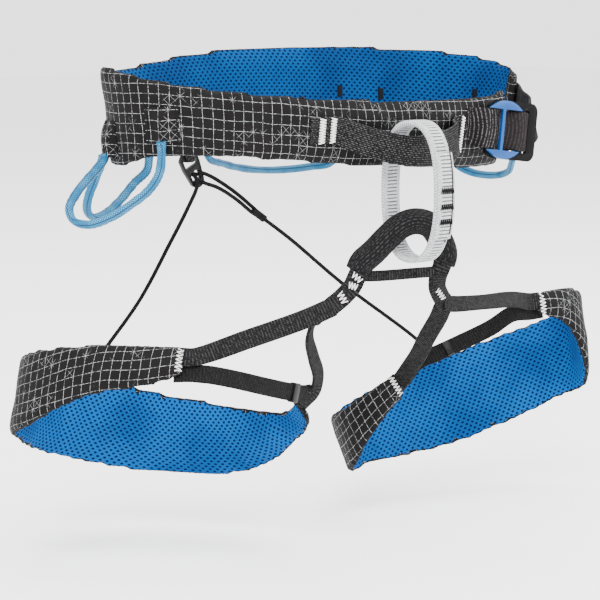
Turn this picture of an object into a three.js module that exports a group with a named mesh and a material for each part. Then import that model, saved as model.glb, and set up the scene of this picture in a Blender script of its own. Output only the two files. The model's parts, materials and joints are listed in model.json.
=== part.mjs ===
// Climbing harness: a padded waist belt closed by a slide-block buckle, a sewn belay loop, two padded
// leg loops on webbing risers, four gear loops, and an elastic rear riser with its clip.
// Millimetres, +Z up. The wearer faces -Y, the wearer's left is +X, and the origin is the waist's centre.

import * as THREE from 'three';

// ---- Driving dimensions ----------------------------------------------------------------------

const GAP = 0.3; // clearance between pieces that lie against each other

// Layers of every padded band, as distances outward from the middle of its foam.
const LAYER = {
  shellOut: 4.0,
  shellIn: 3.2,
  foamOut: 2.9,
  foamIn: -2.6,
  liningOut: -2.9,
  liningIn: -3.7,
  lipOut: -4.0,
  lipIn: -4.8,
};
const HEM = { wall: 0.8, lip: 5 }; // the shell folds round both edges and shows this far inside

// Waist belt: a flattened oval. Angles run from the front centre towards the wearer's left.
const BELT = {
  halfLength: 183,
  halfDepth: 74,
  roundness: 2.3,
  flare: 7, // the top edge stands out this much further than the bottom edge
  start: -294,
  end: 45.3,
  steps: 48,
  angles: [-180, -130, -100, -70, -35, 0, 35, 70, 110],
  top: [50, 38, 42, 34, 24, 16, 16, 31, 44],
  bottom: [-26, -23, -31, -22, -25, -36, -43, -41, -47],
};

// Leg loops: tilted ovals. `turn` is the tilt about X, Y and Z in degrees, `saddle` lifts two opposite
// sides of the upper edge, `widths` are the band's widths every 45 degrees, and `cone` is how far the
// band leans outward below that edge.
const WIDTH_ANGLES = [0, 45, 90, 135, 180, 225, 270, 315];
const RIGHT_LEG = {
  centre: [-136, 24, -187],
  turn: [-25, 3, -58],
  halfLength: 100,
  halfWidth: 76,
  roundness: 2.6,
  saddle: [-1, -6],
  widths: [18, 28, 68, 69, 63, 58, 36, 11],
  cone: [21, 19, 18],
  start: 12,
  end: 290,
  steps: 36,
};
const LEFT_LEG = {
  centre: [154, 6, -198],
  turn: [-24, -22, -23],
  halfLength: 115,
  halfWidth: 57,
  roundness: 2.5,
  saddle: [-5, -4],
  widths: [69, 70, 74, 57, 48, 26, 14, 27],
  cone: [-7, -14, 8],
  start: -60,
  end: 240,
  steps: 36,
};

const WEBBING = { width: 14, thickness: 2.2 };
const ELASTIC = { width: 13, thickness: 1.5 };
const CORD_DIAMETER = 3;
const TACK_THICKNESS = 1;

// Belay loop: a stiff oval ring of webbing in the plane X = centre.x.
const BELAY = {
  centre: [-7, -114, -49.8],
  halfWidth: 27.5,
  halfHeight: 50,
  roundness: 2.4,
  width: 16.5,
  thickness: 3.6,
  steps: 40,
  tailLow: -74,
  tailHigh: -37,
  tackHeights: [-47, -58.5, -69],
};

// Waist tie-in webbing: sewn flat at both ends and standing off the belt between them.
const TIE_IN = {
  thickness: 2.6,
  leftAngles: [-20.5, -17.5, -14.5],
  rightAngles: [17.6, 19.8],
  rightHeight: -13,
  leftHeight: -4,
  bulge: [[-40, -91, -12], [-24, -101.5, -17.5], [-7, -108, -21], [14, -106.5, -21.5], [38, -98, -21.5],
    [60, -88, -17]],
  seat: 0.6, // clearance under the sewn ends
  widths: [19, 19, 20, 21.5, 22, 22, 24, 26, 27, 29, 30],
};

// Leg tie-in sleeve: the padded arch that runs through the belay loop.
const SLEEVE = {
  path: [[-45, -96, -101], [-34, -98, -93], [-23, -101, -83], [-13, -103, -76], [1, -104, -73],
    [16, -105, -77], [26, -106, -89], [31, -106, -101]],
  width: 19.5,
  thickness: 11,
};

const BUCKLE = {
  centre: [112, -84, -11.7],
  lean: 7, // degrees, its top leans to the wearer's left
  left: -16,
  right: 38,
  halfHeight: 22.5,
  thickness: 3,
  windowLeft: -10,
  windowRight: 19.5,
  windowHalfHeight: 16.5,
  slotLeft: 24.3,
  slotRight: 28.6,
  strapWidth: 30.6,
  strapStart: [22.6, -8], // belt angle and height where the adjusting strap is sewn
  strapThickness: 1.6,
};
const SLIDER = { left: -16.8, right: 18.2, flat: 15.8, rise: 6.6, barHalf: 1.5, thickness: 2.6, barX: -2 };

// Rear clip: a small plate that hooks on a webbing loop under the belt's rear edge.
const CLIP = {
  pivot: [-65, 81, -33],
  lean: -26.6, // degrees about Y, its lower end leans to the wearer's left
  thickness: 3.5,
  halfWidth: 8.5,
  barTop: 2.5,
  windowTop: -1.5,
  windowBottom: -8.5,
  windowHalf: 6.3,
  eyeTop: -13,
  eyeBottom: -20.5,
  eyeHalf: 4.5,
  bottom: -24,
  loopWidth: 9,
  loopThickness: 1.4,
  loopHalfGap: 3.4,
  loopTop: 18,
};

const GEAR_CORD = { width: 7.4, thickness: 4.6, offset: 8 };
// Each gear loop leaves the belt's outer face at [angle, height], follows `path`, and comes back.
const GEAR_LOOPS = {
  right_front: {
    from: [-69, -11],
    path: [[-181, -35, -31], [-186, -30, -43], [-195, -20, -54], [-207, -9, -64], [-219, -2, -68],
      [-228, 3, -65], [-229, 7, -57], [-219, 10, -46]],
    to: [-98, -24],
  },
  right_rear: {
    from: [-147, -17],
    path: [[-108, 75, -40], [-119, 77, -50], [-134, 75, -62], [-151, 70, -70], [-165, 66, -72],
      [-175, 60, -67], [-181, 51, -56]],
    to: [-114, -24],
  },
  left_rear: {
    from: [-169, -19],
    path: [[-40, 86, -35], [-18, 93, -42], [5, 99, -47], [28, 102, -50], [50, 102, -51], [72, 98, -50],
      [92, 88, -46]],
    to: [153, -26],
  },
  left_front: {
    from: [114, -36],
    path: [[184, 34, -50], [192, 26, -56], [197, 13, -58], [199, 0, -57], [196, -13, -53],
      [189, -23, -46]],
    to: [69, -30],
  },
};

const MATERIALS = {
  shell: { color: 0x24211f, roughness: 0.75, metalness: 0 },
  foam: { color: 0x3a3d42, roughness: 0.95, metalness: 0 },
  lining: { color: 0x1276c8, roughness: 0.85, metalness: 0 },
  webbing: { color: 0x161412, roughness: 0.8, metalness: 0 },
  greyWebbing: { color: 0x5c5250, roughness: 0.8, metalness: 0 },
  thread: { color: 0xe9e6e0, roughness: 0.7, metalness: 0 },
  darkThread: { color: 0x0f0f10, roughness: 0.7, metalness: 0 },
  belay: { color: 0xc9c9c8, roughness: 0.75, metalness: 0 },
  gear: { color: 0x3f9fd0, roughness: 0.6, metalness: 0 },
  anodised: { color: 0x2f77c2, roughness: 0.3, metalness: 0.9 },
  frame: { color: 0x121212, roughness: 0.45, metalness: 0.6 },
  clip: { color: 0x1a1a1b, roughness: 0.3, metalness: 0.5 },
  elastic: { color: 0x141312, roughness: 0.9, metalness: 0 },
  cord: { color: 0x1b1a19, roughness: 0.8, metalness: 0 },
};

// ---- Helpers -----------------------------------------------------------------------------------

const radians = THREE.MathUtils.degToRad;
const vector = ([x, y, z]) => new THREE.Vector3(x, y, z);
const signedPower = (value, power) => Math.sign(value) * Math.abs(value) ** power;

const harness = new THREE.Group();

function add(name, geometry, material, parent = harness) {
  const mesh = new THREE.Mesh(geometry, new THREE.MeshStandardMaterial(MATERIALS[material]));
  mesh.name = name;
  parent.add(mesh);
  return mesh;
}

// A smooth closed curve of values over angle, through `values` at `angles` (degrees, rising).
function around(angles, values, angle) {
  const count = angles.length;
  const wrap = (i) => ((i % count) + count) % count;
  const angleAt = (i) => angles[wrap(i)] + 360 * Math.floor(i / count);
  const valueAt = (i) => values[wrap(i)];
  const slopeAt = (i) => (valueAt(i + 1) - valueAt(i - 1)) / (angleAt(i + 1) - angleAt(i - 1));
  const turned = angle - 360 * Math.floor((angle - angles[0]) / 360);
  let i = 0;
  while (angleAt(i + 1) <= turned) i += 1;
  const span = angleAt(i + 1) - angleAt(i);
  const t = (turned - angleAt(i)) / span;
  const fromStart = (1 + 2 * t) * (1 - t) ** 2 * valueAt(i) + t * (1 - t) ** 2 * span * slopeAt(i);
  const fromEnd = t ** 2 * (3 - 2 * t) * valueAt(i + 1) + t ** 2 * (t - 1) * span * slopeAt(i + 1);
  return fromStart + fromEnd;
}

// A station is a place on a swept piece: an origin, the direction across its width and its face normal.
function place(station, across, out) {
  return station.origin.clone().addScaledVector(station.across, across).addScaledVector(station.normal, out);
}

function signedVolume(positions, faces) {
  const [a, b, c] = [new THREE.Vector3(), new THREE.Vector3(), new THREE.Vector3()];
  let volume = 0;
  for (let i = 0; i < faces.length; i += 3) {
    a.fromArray(positions, faces[i] * 3);
    b.fromArray(positions, faces[i + 1] * 3);
    c.fromArray(positions, faces[i + 2] * 3);
    volume += a.dot(b.cross(c)) / 6;
  }
  return volume;
}

// Sweeps outline(station), a list of [across, out] points, through the stations into one closed solid.
function sweep(stations, outline, closed = false) {
  const positions = [];
  const faces = [];
  const outlines = stations.map(outline);
  stations.forEach((station, i) => {
    outlines[i].forEach(([across, out]) => positions.push(...place(station, across, out).toArray()));
  });
  const count = outlines[0].length;
  const spans = closed ? stations.length : stations.length - 1;
  for (let i = 0; i < spans; i += 1) {
    const here = i * count;
    const next = ((i + 1) % stations.length) * count;
    for (let j = 0; j < count; j += 1) {
      const k = (j + 1) % count;
      // Faces that look opposite ways share one diagonal, so that nested layers stay parallel.
      const back = outlines[i][k][0] < outlines[i][j][0];
      if (back) faces.push(here + j, here + k, next + j, here + k, next + k, next + j);
      else faces.push(here + j, here + k, next + k, here + j, next + k, next + j);
    }
  }
  if (!closed) {
    const last = (stations.length - 1) * count;
    const flat = (points) => points.map(([x, y]) => new THREE.Vector2(x, y));
    const capOf = (points) => THREE.ShapeUtils.triangulateShape(flat(points), []);
    const sign = THREE.ShapeUtils.area(outlines[0].map(([x, y]) => new THREE.Vector2(x, y))) > 0 ? 1 : -1;
    const push = (base, [a, b, c], flip) => faces.push(base + a, base + (flip ? c : b),
      base + (flip ? b : c));
    capOf(outlines[0]).forEach((triangle) => push(0, triangle, sign > 0));
    capOf(outlines[stations.length - 1]).forEach((triangle) => push(last, triangle, sign < 0));
  }
  if (signedVolume(positions, faces) < 0) faces.reverse();
  const geometry = new THREE.BufferGeometry();
  geometry.setAttribute('position', new THREE.Float32BufferAttribute(positions, 3));
  geometry.setIndex(faces);
  geometry.computeVertexNormals();
  return geometry;
}

const strip = (halfWidth, low, high) => [[-halfWidth, low], [halfWidth, low], [halfWidth, high],
  [-halfWidth, high]];

function oval(width, thickness, sides = 10) {
  return Array.from({ length: sides }, (_, i) => {
    const angle = (2 * Math.PI * (i + 0.5)) / sides;
    const across = (width / 2) * signedPower(Math.cos(angle), 0.8);
    return [across, (thickness / 2) * signedPower(Math.sin(angle), 0.8)];
  });
}

// ---- Padded bands ------------------------------------------------------------------------------

function beltEdge(angle, lower) {
  const power = 2 / BELT.roundness;
  const flare = lower ? 0 : BELT.flare;
  return new THREE.Vector3(
    (BELT.halfLength + flare) * signedPower(Math.sin(radians(angle)), power),
    -(BELT.halfDepth + flare) * signedPower(Math.cos(radians(angle)), power),
    around(BELT.angles, lower ? BELT.bottom : BELT.top, angle),
  );
}

function legEdge(leg, angle, lower) {
  const power = 2 / leg.roundness;
  const [cos, sin] = [Math.cos(radians(angle)), Math.sin(radians(angle))];
  const height = leg.saddle[0] * Math.cos(2 * radians(angle)) + leg.saddle[1] * Math.sin(2 * radians(angle));
  const point = new THREE.Vector3(leg.halfLength * signedPower(cos, power),
    leg.halfWidth * signedPower(sin, power), 0);
  const lean = radians(leg.cone[0] + leg.cone[1] * cos + leg.cone[2] * sin);
  const outward = point.clone().normalize();
  point.z = height;
  if (lower) {
    const width = around(WIDTH_ANGLES, leg.widths, angle);
    point.addScaledVector(outward, width * Math.sin(lean));
    point.z -= width * Math.cos(lean);
  }
  const [x, y, z] = leg.turn.map(radians);
  return point.applyEuler(new THREE.Euler(x, y, z, 'ZYX')).add(vector(leg.centre));
}

function bandStation(edge, angle) {
  const middle = (a) => edge(a, false).add(edge(a, true)).multiplyScalar(0.5);
  const across = edge(angle, false).sub(edge(angle, true));
  const half = across.length() / 2;
  across.normalize();
  const along = middle(angle + 1).sub(middle(angle - 1));
  return { origin: middle(angle), across, normal: along.cross(across).normalize(), half };
}

function bandStations(edge, band) {
  const at = (i) => band.start + ((band.end - band.start) * i) / band.steps;
  return Array.from({ length: band.steps + 1 }, (_, i) => bandStation(edge, at(i)));
}

// The shell's section: the outer face, folded round both edges onto the inner face.
function shellOutline({ half }) {
  const inner = half - HEM.wall;
  const lip = half - HEM.lip;
  return [
    [-half, LAYER.shellOut], [half, LAYER.shellOut], [half, LAYER.lipIn], [lip, LAYER.lipIn],
    [lip, LAYER.lipOut], [inner, LAYER.lipOut], [inner, LAYER.shellIn], [-inner, LAYER.shellIn],
    [-inner, LAYER.lipOut], [-lip, LAYER.lipOut], [-lip, LAYER.lipIn], [-half, LAYER.lipIn],
  ];
}

function paddedBand(prefix, edge, band) {
  const stations = bandStations(edge, band);
  const inset = HEM.wall + GAP;
  add(`${prefix}_outer_shell`, sweep(stations, shellOutline), 'shell');
  const foam = ({ half }) => strip(half - inset, LAYER.foamIn, LAYER.foamOut);
  add(`${prefix}_foam_core`, sweep(stations, foam), 'foam');
  const lining = ({ half }) => strip(half - inset, LAYER.liningIn, LAYER.liningOut);
  add(`${prefix}_mesh_lining`, sweep(stations, lining), 'lining');
}

// The station at a height on the belt, `out` from the middle of its foam.
function onBelt(angle, height, out) {
  const station = bandStation(beltEdge, angle);
  const origin = place(station, (height - station.origin.z) / station.across.z, out);
  return { ...station, origin };
}

// ---- Webbing, cords and stitches -----------------------------------------------------------------

// Stations along a path. `facing` holds the face direction at each point, or one for all of them.
function ribbonStations(path, facing, steps) {
  const line = new THREE.CatmullRomCurve3(path.map(vector), false, 'centripetal');
  const facings = facing.length === 1 ? path.map(() => facing[0]) : facing;
  const turn = new THREE.CatmullRomCurve3(facings.map(vector), false, 'centripetal');
  return Array.from({ length: steps + 1 }, (_, i) => {
    const t = i / steps;
    const along = line.getTangent(t);
    const across = turn.getPoint(t).cross(along).normalize();
    return { origin: line.getPoint(t), across, normal: along.clone().cross(across).normalize(), t };
  });
}

function webbing(name, path, facing, { width, thickness }, material = 'webbing', steps = 14) {
  const outline = () => strip(width / 2, -thickness / 2, thickness / 2);
  return add(name, sweep(ribbonStations(path, facing, steps), outline), material);
}

function cord(name, path, steps) {
  const ring = oval(CORD_DIAMETER, CORD_DIAMETER, 8);
  const section = new THREE.Shape(ring.map(([x, y]) => new THREE.Vector2(x, y)));
  const extrudePath = new THREE.CatmullRomCurve3(path.map(vector), false, 'centripetal');
  return add(name, new THREE.ExtrudeGeometry(section, { steps, extrudePath, bevelEnabled: false }), 'cord');
}

// A bar tack: a short block of stitching lying on a station's face, `width` across and `length` along it.
function tack(name, station, lift, width, length, material = 'thread') {
  const mesh = add(name, new THREE.BoxGeometry(width, length, TACK_THICKNESS), material);
  const along = station.normal.clone().cross(station.across);
  mesh.quaternion.setFromRotationMatrix(new THREE.Matrix4().makeBasis(station.across, along, station.normal));
  mesh.position.copy(place(station, 0, lift + GAP + TACK_THICKNESS / 2));
  return mesh;
}

// Turns a flat shape in X and Z, `thickness` deep and centred on Y = 0, into a plate.
function plate(shape, thickness) {
  const options = { depth: thickness, bevelEnabled: false, curveSegments: 8 };
  const geometry = new THREE.ExtrudeGeometry(shape, options);
  return geometry.rotateX(Math.PI / 2).translate(0, thickness / 2, 0);
}

function roundedBox(path, left, right, low, high, radius) {
  path.moveTo(left + radius, low);
  path.lineTo(right - radius, low);
  path.absarc(right - radius, low + radius, radius, -Math.PI / 2, 0);
  path.lineTo(right, high - radius);
  path.absarc(right - radius, high - radius, radius, 0, Math.PI / 2);
  path.lineTo(left + radius, high);
  path.absarc(left + radius, high - radius, radius, Math.PI / 2, Math.PI);
  path.lineTo(left, low + radius);
  path.absarc(left + radius, low + radius, radius, Math.PI, 1.5 * Math.PI);
  return path;
}

// ---- Waist belt and its tie-in webbing ---------------------------------------------------------------

paddedBand('waist', beltEdge, BELT);

const tieInLift = LAYER.shellOut + TIE_IN.seat + TIE_IN.thickness / 2;
const tieInLeft = TIE_IN.leftAngles.map((angle) => onBelt(angle, TIE_IN.leftHeight, tieInLift));
const tieInRight = TIE_IN.rightAngles.map((angle) => onBelt(angle, TIE_IN.rightHeight, tieInLift));

function addTieIn() {
  const bulge = TIE_IN.bulge;
  const path = [...tieInLeft.map((s) => s.origin.toArray()),
    ...bulge, ...tieInRight.map((s) => s.origin.toArray())];
  const flat = (s) => s.normal.toArray();
  const facing = [...tieInLeft.map(flat), ...bulge.map(() => [0, -1, 0]), ...tieInRight.map(flat)];
  facing[facing.length - 3] = flat(tieInRight[0]); // the last free stretch already lies at the belt's slant
  const widthAt = (t) => {
    const along = t * (TIE_IN.widths.length - 1);
    const i = Math.min(Math.floor(along), TIE_IN.widths.length - 2);
    return THREE.MathUtils.lerp(TIE_IN.widths[i], TIE_IN.widths[i + 1], along - i);
  };
  const outline = ({ t }) => strip(widthAt(t) / 2, -TIE_IN.thickness / 2, TIE_IN.thickness / 2);
  const stations = ribbonStations(path, facing, 30);
  add('waist_tie_in_webbing', sweep(stations, outline), 'webbing');
  tack('tie_in_tack_outer', stations[2], TIE_IN.thickness / 2, 18, 5);
  tack('tie_in_tack_inner', stations[5], TIE_IN.thickness / 2 + GAP, 18, 4.5);
  tack('tie_in_tack_buckle_side', stations[29], TIE_IN.thickness / 2 + 3 * GAP, 18, 3);
}

addTieIn();

// Two short stitched tabs at the top of the back and three stitch bars through the lining.
[[-163, 'right'], [157, 'left']].forEach(([angle, side]) => {
  const station = bandStation(beltEdge, angle);
  const top = { ...station, origin: place(station, station.half - 6, LAYER.shellOut) };
  tack(`haul_tab_${side}`, top, 0, 9, 12, 'webbing');
});
[['right', 162], ['centre', 152], ['left', 103]].forEach(([side, angle]) => {
  const station = bandStation(beltEdge, angle);
  const inside = { ...station, normal: station.normal.clone().negate() };
  inside.origin = place(station, -station.half * 0.15, LAYER.liningIn);
  inside.across = station.across.clone().negate();
  tack(`lining_stitch_bar_${side}`, inside, GAP, 9, 5, 'darkThread');
});

// ---- Buckle ------------------------------------------------------------------------------------

const buckle = new THREE.Group();
buckle.position.fromArray(BUCKLE.centre);
buckle.rotation.y = radians(BUCKLE.lean);
harness.add(buckle);

function addBuckleFrame() {
  const b = BUCKLE;
  const outline = roundedBox(new THREE.Shape(), b.left, b.right, -b.halfHeight, b.halfHeight, 7);
  const window = [b.windowLeft, b.windowRight, -b.windowHalfHeight, b.windowHalfHeight, 2];
  const slot = [b.slotLeft, b.slotRight, -b.windowHalfHeight, b.windowHalfHeight, 0.8];
  outline.holes.push(roundedBox(new THREE.Path(), ...window), roundedBox(new THREE.Path(), ...slot));
  add('buckle_frame', plate(outline, b.thickness), 'frame', buckle);
}

// The slider: a centre bar between two end plates whose outer edges are arcs.
function addBuckleSlider() {
  const { left, right, flat, rise, barHalf, barX, thickness } = SLIDER;
  const halfChord = (right - left) / 2;
  const radius = (halfChord ** 2 + rise ** 2) / (2 * rise);
  const reach = Math.asin(halfChord / radius);
  const middle = (left + right) / 2;
  const arcCentre = flat + rise - radius;
  const outline = new THREE.Shape();
  outline.moveTo(barX + barHalf, -flat);
  outline.lineTo(barX + barHalf, flat);
  outline.lineTo(right, flat);
  outline.absarc(middle, arcCentre, radius, Math.PI / 2 - reach, Math.PI / 2 + reach);
  outline.lineTo(barX - barHalf, flat);
  outline.lineTo(barX - barHalf, -flat);
  outline.lineTo(left, -flat);
  outline.absarc(middle, -arcCentre, radius, 1.5 * Math.PI - reach, 1.5 * Math.PI + reach);
  const slider = add('buckle_slider', plate(outline, thickness), 'anodised', buckle);
  slider.position.y = -(BUCKLE.thickness / 2 + GAP + thickness / 2);
}

// The adjusting strap: over the frame's front bar, behind the slider's bar, up again and down the slot.
function addBuckleStrap() {
  const lift = LAYER.shellOut + 2 * GAP + BUCKLE.strapThickness / 2;
  const start = onBelt(...BUCKLE.strapStart, lift + GAP);
  const onFrame = (x, y) => buckle.localToWorld(new THREE.Vector3(x, y, 0)).toArray();
  buckle.updateMatrixWorld();
  const over = -(BUCKLE.thickness / 2 + 2 * GAP + BUCKLE.strapThickness / 2);
  const path = [start.origin.toArray(), onFrame(-20, over), onFrame(-15, over), onFrame(-9.5, over),
    onFrame(-6, 0.2), onFrame(-2, 2.4), onFrame(3, 2.6), onFrame(8, 1.6), onFrame(12, -0.6),
    onFrame(15.5, -2.4), onFrame(19.5, over), onFrame(23.3, over - 0.1), onFrame(25.8, -2.3),
    onFrame(26.6, 0), onFrame(26.6, 2.4)];
  const size = { width: BUCKLE.strapWidth, thickness: BUCKLE.strapThickness };
  const facing = path.map((_, i) => (i < path.length - 3 ? [0, -1, 0] : [0.99, -0.2, -0.12]));
  facing[path.length - 3] = [0.6, -0.8, -0.07];
  facing[0] = [0.15, -1, -0.2];
  webbing('buckle_strap', path, facing, size, 'greyWebbing', 40);
}

// The strap that carries the frame from the belt's rear panel.
function addBuckleAnchor() {
  const lift = LAYER.shellOut + GAP + 1.2;
  const sewn = [76, 71, 67].map((angle, i) => onBelt(angle, 6 - i, lift));
  const path = [...sewn.map((s) => s.origin.toArray()), [167, -55, 0], [160.5, -69, -3], [154.5, -78, -7],
    [148.5, -80.6, -9.5]];
  const facing = [...sewn.map((s) => s.normal.toArray()), [0.8, -0.6, 0], [0.6, -0.8, 0], [0.2, -1, 0],
    [0, -1, 0]];
  webbing('buckle_anchor_strap', path, facing, { width: 31, thickness: 2.4 }, 'webbing', 18);
}

addBuckleFrame();
addBuckleSlider();
addBuckleStrap();
addBuckleAnchor();

// ---- Gear loops --------------------------------------------------------------------------------

function addGearLoop(side, { from, path, to }) {
  const ends = [from, to].map(([angle, height]) => onBelt(angle, height, GEAR_CORD.offset));
  const points = [ends[0].origin.toArray(), ...path, ends[1].origin.toArray()];
  const middle = vector(path[Math.floor(path.length / 2)]);
  const facing = ends[1].origin.clone().sub(ends[0].origin).cross(middle.sub(ends[0].origin)).normalize();
  const stations = ribbonStations(points, [facing.toArray()], 22);
  add(`gear_loop_${side}`, sweep(stations, () => oval(GEAR_CORD.thickness, GEAR_CORD.width, 8)), 'gear');
  const tunnel = onBelt(from[0], from[1] + 15, 0);
  tack(`gear_tunnel_${side}`, { ...tunnel, origin: place(tunnel, 0, LAYER.shellOut) }, 0.4, 18, 21, 'shell');
}

Object.entries(GEAR_LOOPS).forEach(([side, loop]) => addGearLoop(side, loop));

// ---- Belay loop --------------------------------------------------------------------------------

function belayStation(angle) {
  const power = 2 / BELAY.roundness;
  const at = (a) => new THREE.Vector3(
    BELAY.centre[0],
    BELAY.centre[1] - BELAY.halfWidth * signedPower(Math.sin(radians(a)), power),
    BELAY.centre[2] - BELAY.halfHeight * signedPower(Math.cos(radians(a)), power),
  );
  const along = at(angle + 1).sub(at(angle - 1)).normalize();
  const across = new THREE.Vector3(1, 0, 0);
  return { origin: at(angle), across, normal: across.clone().cross(along) };
}

// The angle on the front strand at a height, found by halving.
function belayAngle(height) {
  let [low, high] = [1, 179];
  while (high - low > 0.01) {
    const middle = (low + high) / 2;
    if (belayStation(middle).origin.z < height) low = middle;
    else high = middle;
  }
  return low;
}

function addBelayLoop() {
  const { steps, width, thickness } = BELAY;
  const step = 360 / steps;
  // Half a step of offset puts one flat facet level at the very bottom, where a connector bears.
  const stations = Array.from({ length: steps }, (_, i) => belayStation((i + 0.5) * step));
  const ring = strip(width / 2, -thickness / 2, thickness / 2);
  add('belay_loop', sweep(stations, () => ring, true), 'belay');
  const [low, high] = [BELAY.tailLow, BELAY.tailHigh].map(belayAngle);
  const layer = thickness / 2 + GAP;
  const tail = Array.from({ length: 9 }, (_, i) => belayStation(low + ((high - low) * i) / 8));
  add('belay_loop_tail', sweep(tail, () => strip(width / 2, layer, layer + 1.8)), 'belay');
  BELAY.tackHeights.forEach((height, i) => {
    tack(`belay_tack_${i + 1}`, belayStation(belayAngle(height)), layer + 1.8, 10, 4.2, 'darkThread');
  });
}

addBelayLoop();

// ---- Leg tie-in sleeve, risers and cross strap ------------------------------------------------------------

const FRONT = [-0.45, -0.85, 0.1];
const sleeveStations = ribbonStations(SLEEVE.path, [FRONT], 16);
add('leg_tie_in_sleeve', sweep(sleeveStations, () => oval(SLEEVE.width, SLEEVE.thickness)), 'webbing');

const RISER_TACK = [5, 6];
function addRiser(side, path, facing, tackPlaces) {
  webbing(`${side}_riser`, path, facing, WEBBING, 'webbing', 10);
  const stations = ribbonStations(path, facing, 10);
  tackPlaces.forEach((i, n) => {
    tack(`${side}_riser_tack_${n + 1}`, stations[i], WEBBING.thickness / 2, ...RISER_TACK);
  });
}

addRiser('right', [[-49.5, -95.5, -109.5], [-51.5, -95, -116], [-59, -93, -124], [-68, -90, -130]], [FRONT],
  [3, 8]);
addRiser('left', [[25.5, -105.5, -110], [26, -103, -116], [30, -99, -125], [37, -96, -133],
  [42, -94, -138]], [FRONT], [8]);
webbing('cross_strap', [[-38.5, -95, -111.5], [-11, -97, -112], [16, -103, -112]], [FRONT],
  { width: 8, thickness: 2 });

// ---- Leg loops ---------------------------------------------------------------------------------

const rightEdge = (angle, lower) => legEdge(RIGHT_LEG, angle, lower);
const leftEdge = (angle, lower) => legEdge(LEFT_LEG, angle, lower);
paddedBand('right_leg', rightEdge, RIGHT_LEG);
paddedBand('left_leg', leftEdge, LEFT_LEG);

const ARM_GAP = 3; // from a band's end to the webbing that continues it

// A point just past one end of a padded band, `share` of the way from its middle to its upper edge.
function bandEnd(edge, angle, past, share) {
  const station = bandStation(edge, angle);
  const along = station.across.clone().cross(station.normal);
  const at = place(station, station.half * share, 0).addScaledVector(along, past).toArray();
  return { at, facing: station.normal.toArray() };
}

function endTack(name, edge, angle, width) {
  const station = bandStation(edge, angle);
  tack(name, station, LAYER.shellOut, width, 4.5);
}

function addRightLeg() {
  const front = bandEnd(rightEdge, RIGHT_LEG.end, ARM_GAP + 1, 0.4);
  const frontLow = bandEnd(rightEdge, RIGHT_LEG.end, ARM_GAP + 1, -0.95);
  const inner = bandEnd(rightEdge, RIGHT_LEG.start, -2 * ARM_GAP, 0.2);
  const facing = [[-0.5, -0.8, 0.2], [-0.5, -0.8, 0.2], [-0.5, -0.8, 0.25], front.facing];
  webbing('right_front_arm', [[-70.5, -90.5, -132], [-94, -85, -139], [-130, -72, -150], front.at],
    facing, WEBBING);
  const innerPath = [[-78, -82.5, -143], [-79, -78, -154], [-69, -71, -170], [-58, -64, -186],
    [-56, -59, -197], inner.at];
  const innerFacing = [[0.5, -0.8, 0], [0.4, -0.9, 0], [0.2, -1, 0], [0.1, -1, 0], [0.1, -1, 0],
    [0.45, -0.85, 0.3]];
  webbing('right_inner_arm', innerPath, innerFacing, { width: 12, thickness: 2.2 }, 'webbing', 18);
  const elasticPath = [frontLow.at, [-162, -63, -174], [-144, -68, -178], [-114, -70, -187],
    [-86, -66, -195], [-73, -62, -198.5]];
  const elasticFacing = [frontLow.facing, [-0.4, -0.9, 0.1], [-0.3, -0.95, 0], [-0.2, -0.98, 0], [0, -1, 0],
    [0.2, -1, 0]];
  webbing('right_elastic_strap', elasticPath, elasticFacing, ELASTIC, 'elastic', 20);
  strapHook('right_strap_hook', ribbonStations(elasticPath, elasticFacing, 20)[17]);
  endTack('right_leg_front_tack', rightEdge, RIGHT_LEG.end - 3, 17);
}

function addLeftLeg() {
  const outer = bandEnd(leftEdge, LEFT_LEG.start, -ARM_GAP, 0.45);
  const outerLow = bandEnd(leftEdge, LEFT_LEG.start, -ARM_GAP, -1);
  const inner = bandEnd(leftEdge, LEFT_LEG.end, 1.6 * ARM_GAP, 0.2);
  const outerFacing = [[-0.3, -0.8, 0.5], [0, -0.7, 0.7], [0, -0.8, 0.5], outer.facing];
  webbing('left_outer_arm', [[47, -92.5, -139.5], [94, -84, -144], [142, -70, -148], outer.at],
    outerFacing, WEBBING);
  const innerPath = [[46, -87, -147], [56, -62, -170], [65, -44, -186], inner.at];
  const innerFacing = [[-0.6, -0.7, 0.4], [-0.6, -0.7, 0.4], [-0.6, -0.7, 0.4], inner.facing];
  webbing('left_inner_arm', innerPath, innerFacing, WEBBING);
  const elasticPath = [[83.5, -13.5, -207], [88, -18, -199], [103, -29, -191], [118, -37, -184],
    [140, -48, -176], [155, -53, -169], outerLow.at];
  const elasticFacing = [[-0.4, -0.8, 0.4], [-0.4, -0.8, 0.4], [-0.3, -0.8, 0.5], [-0.3, -0.8, 0.5],
    [-0.2, -0.9, 0.4],
    [0, -0.95, 0.3], outerLow.facing];
  webbing('left_elastic_strap', elasticPath, elasticFacing, ELASTIC, 'elastic', 20);
  strapHook('left_strap_hook', ribbonStations(elasticPath, elasticFacing, 20)[8]);
  endTack('left_leg_outer_tack', leftEdge, LEFT_LEG.start + 3, 16);
  endTack('left_leg_inner_tack', leftEdge, LEFT_LEG.end - 4, 16);
}

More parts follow.
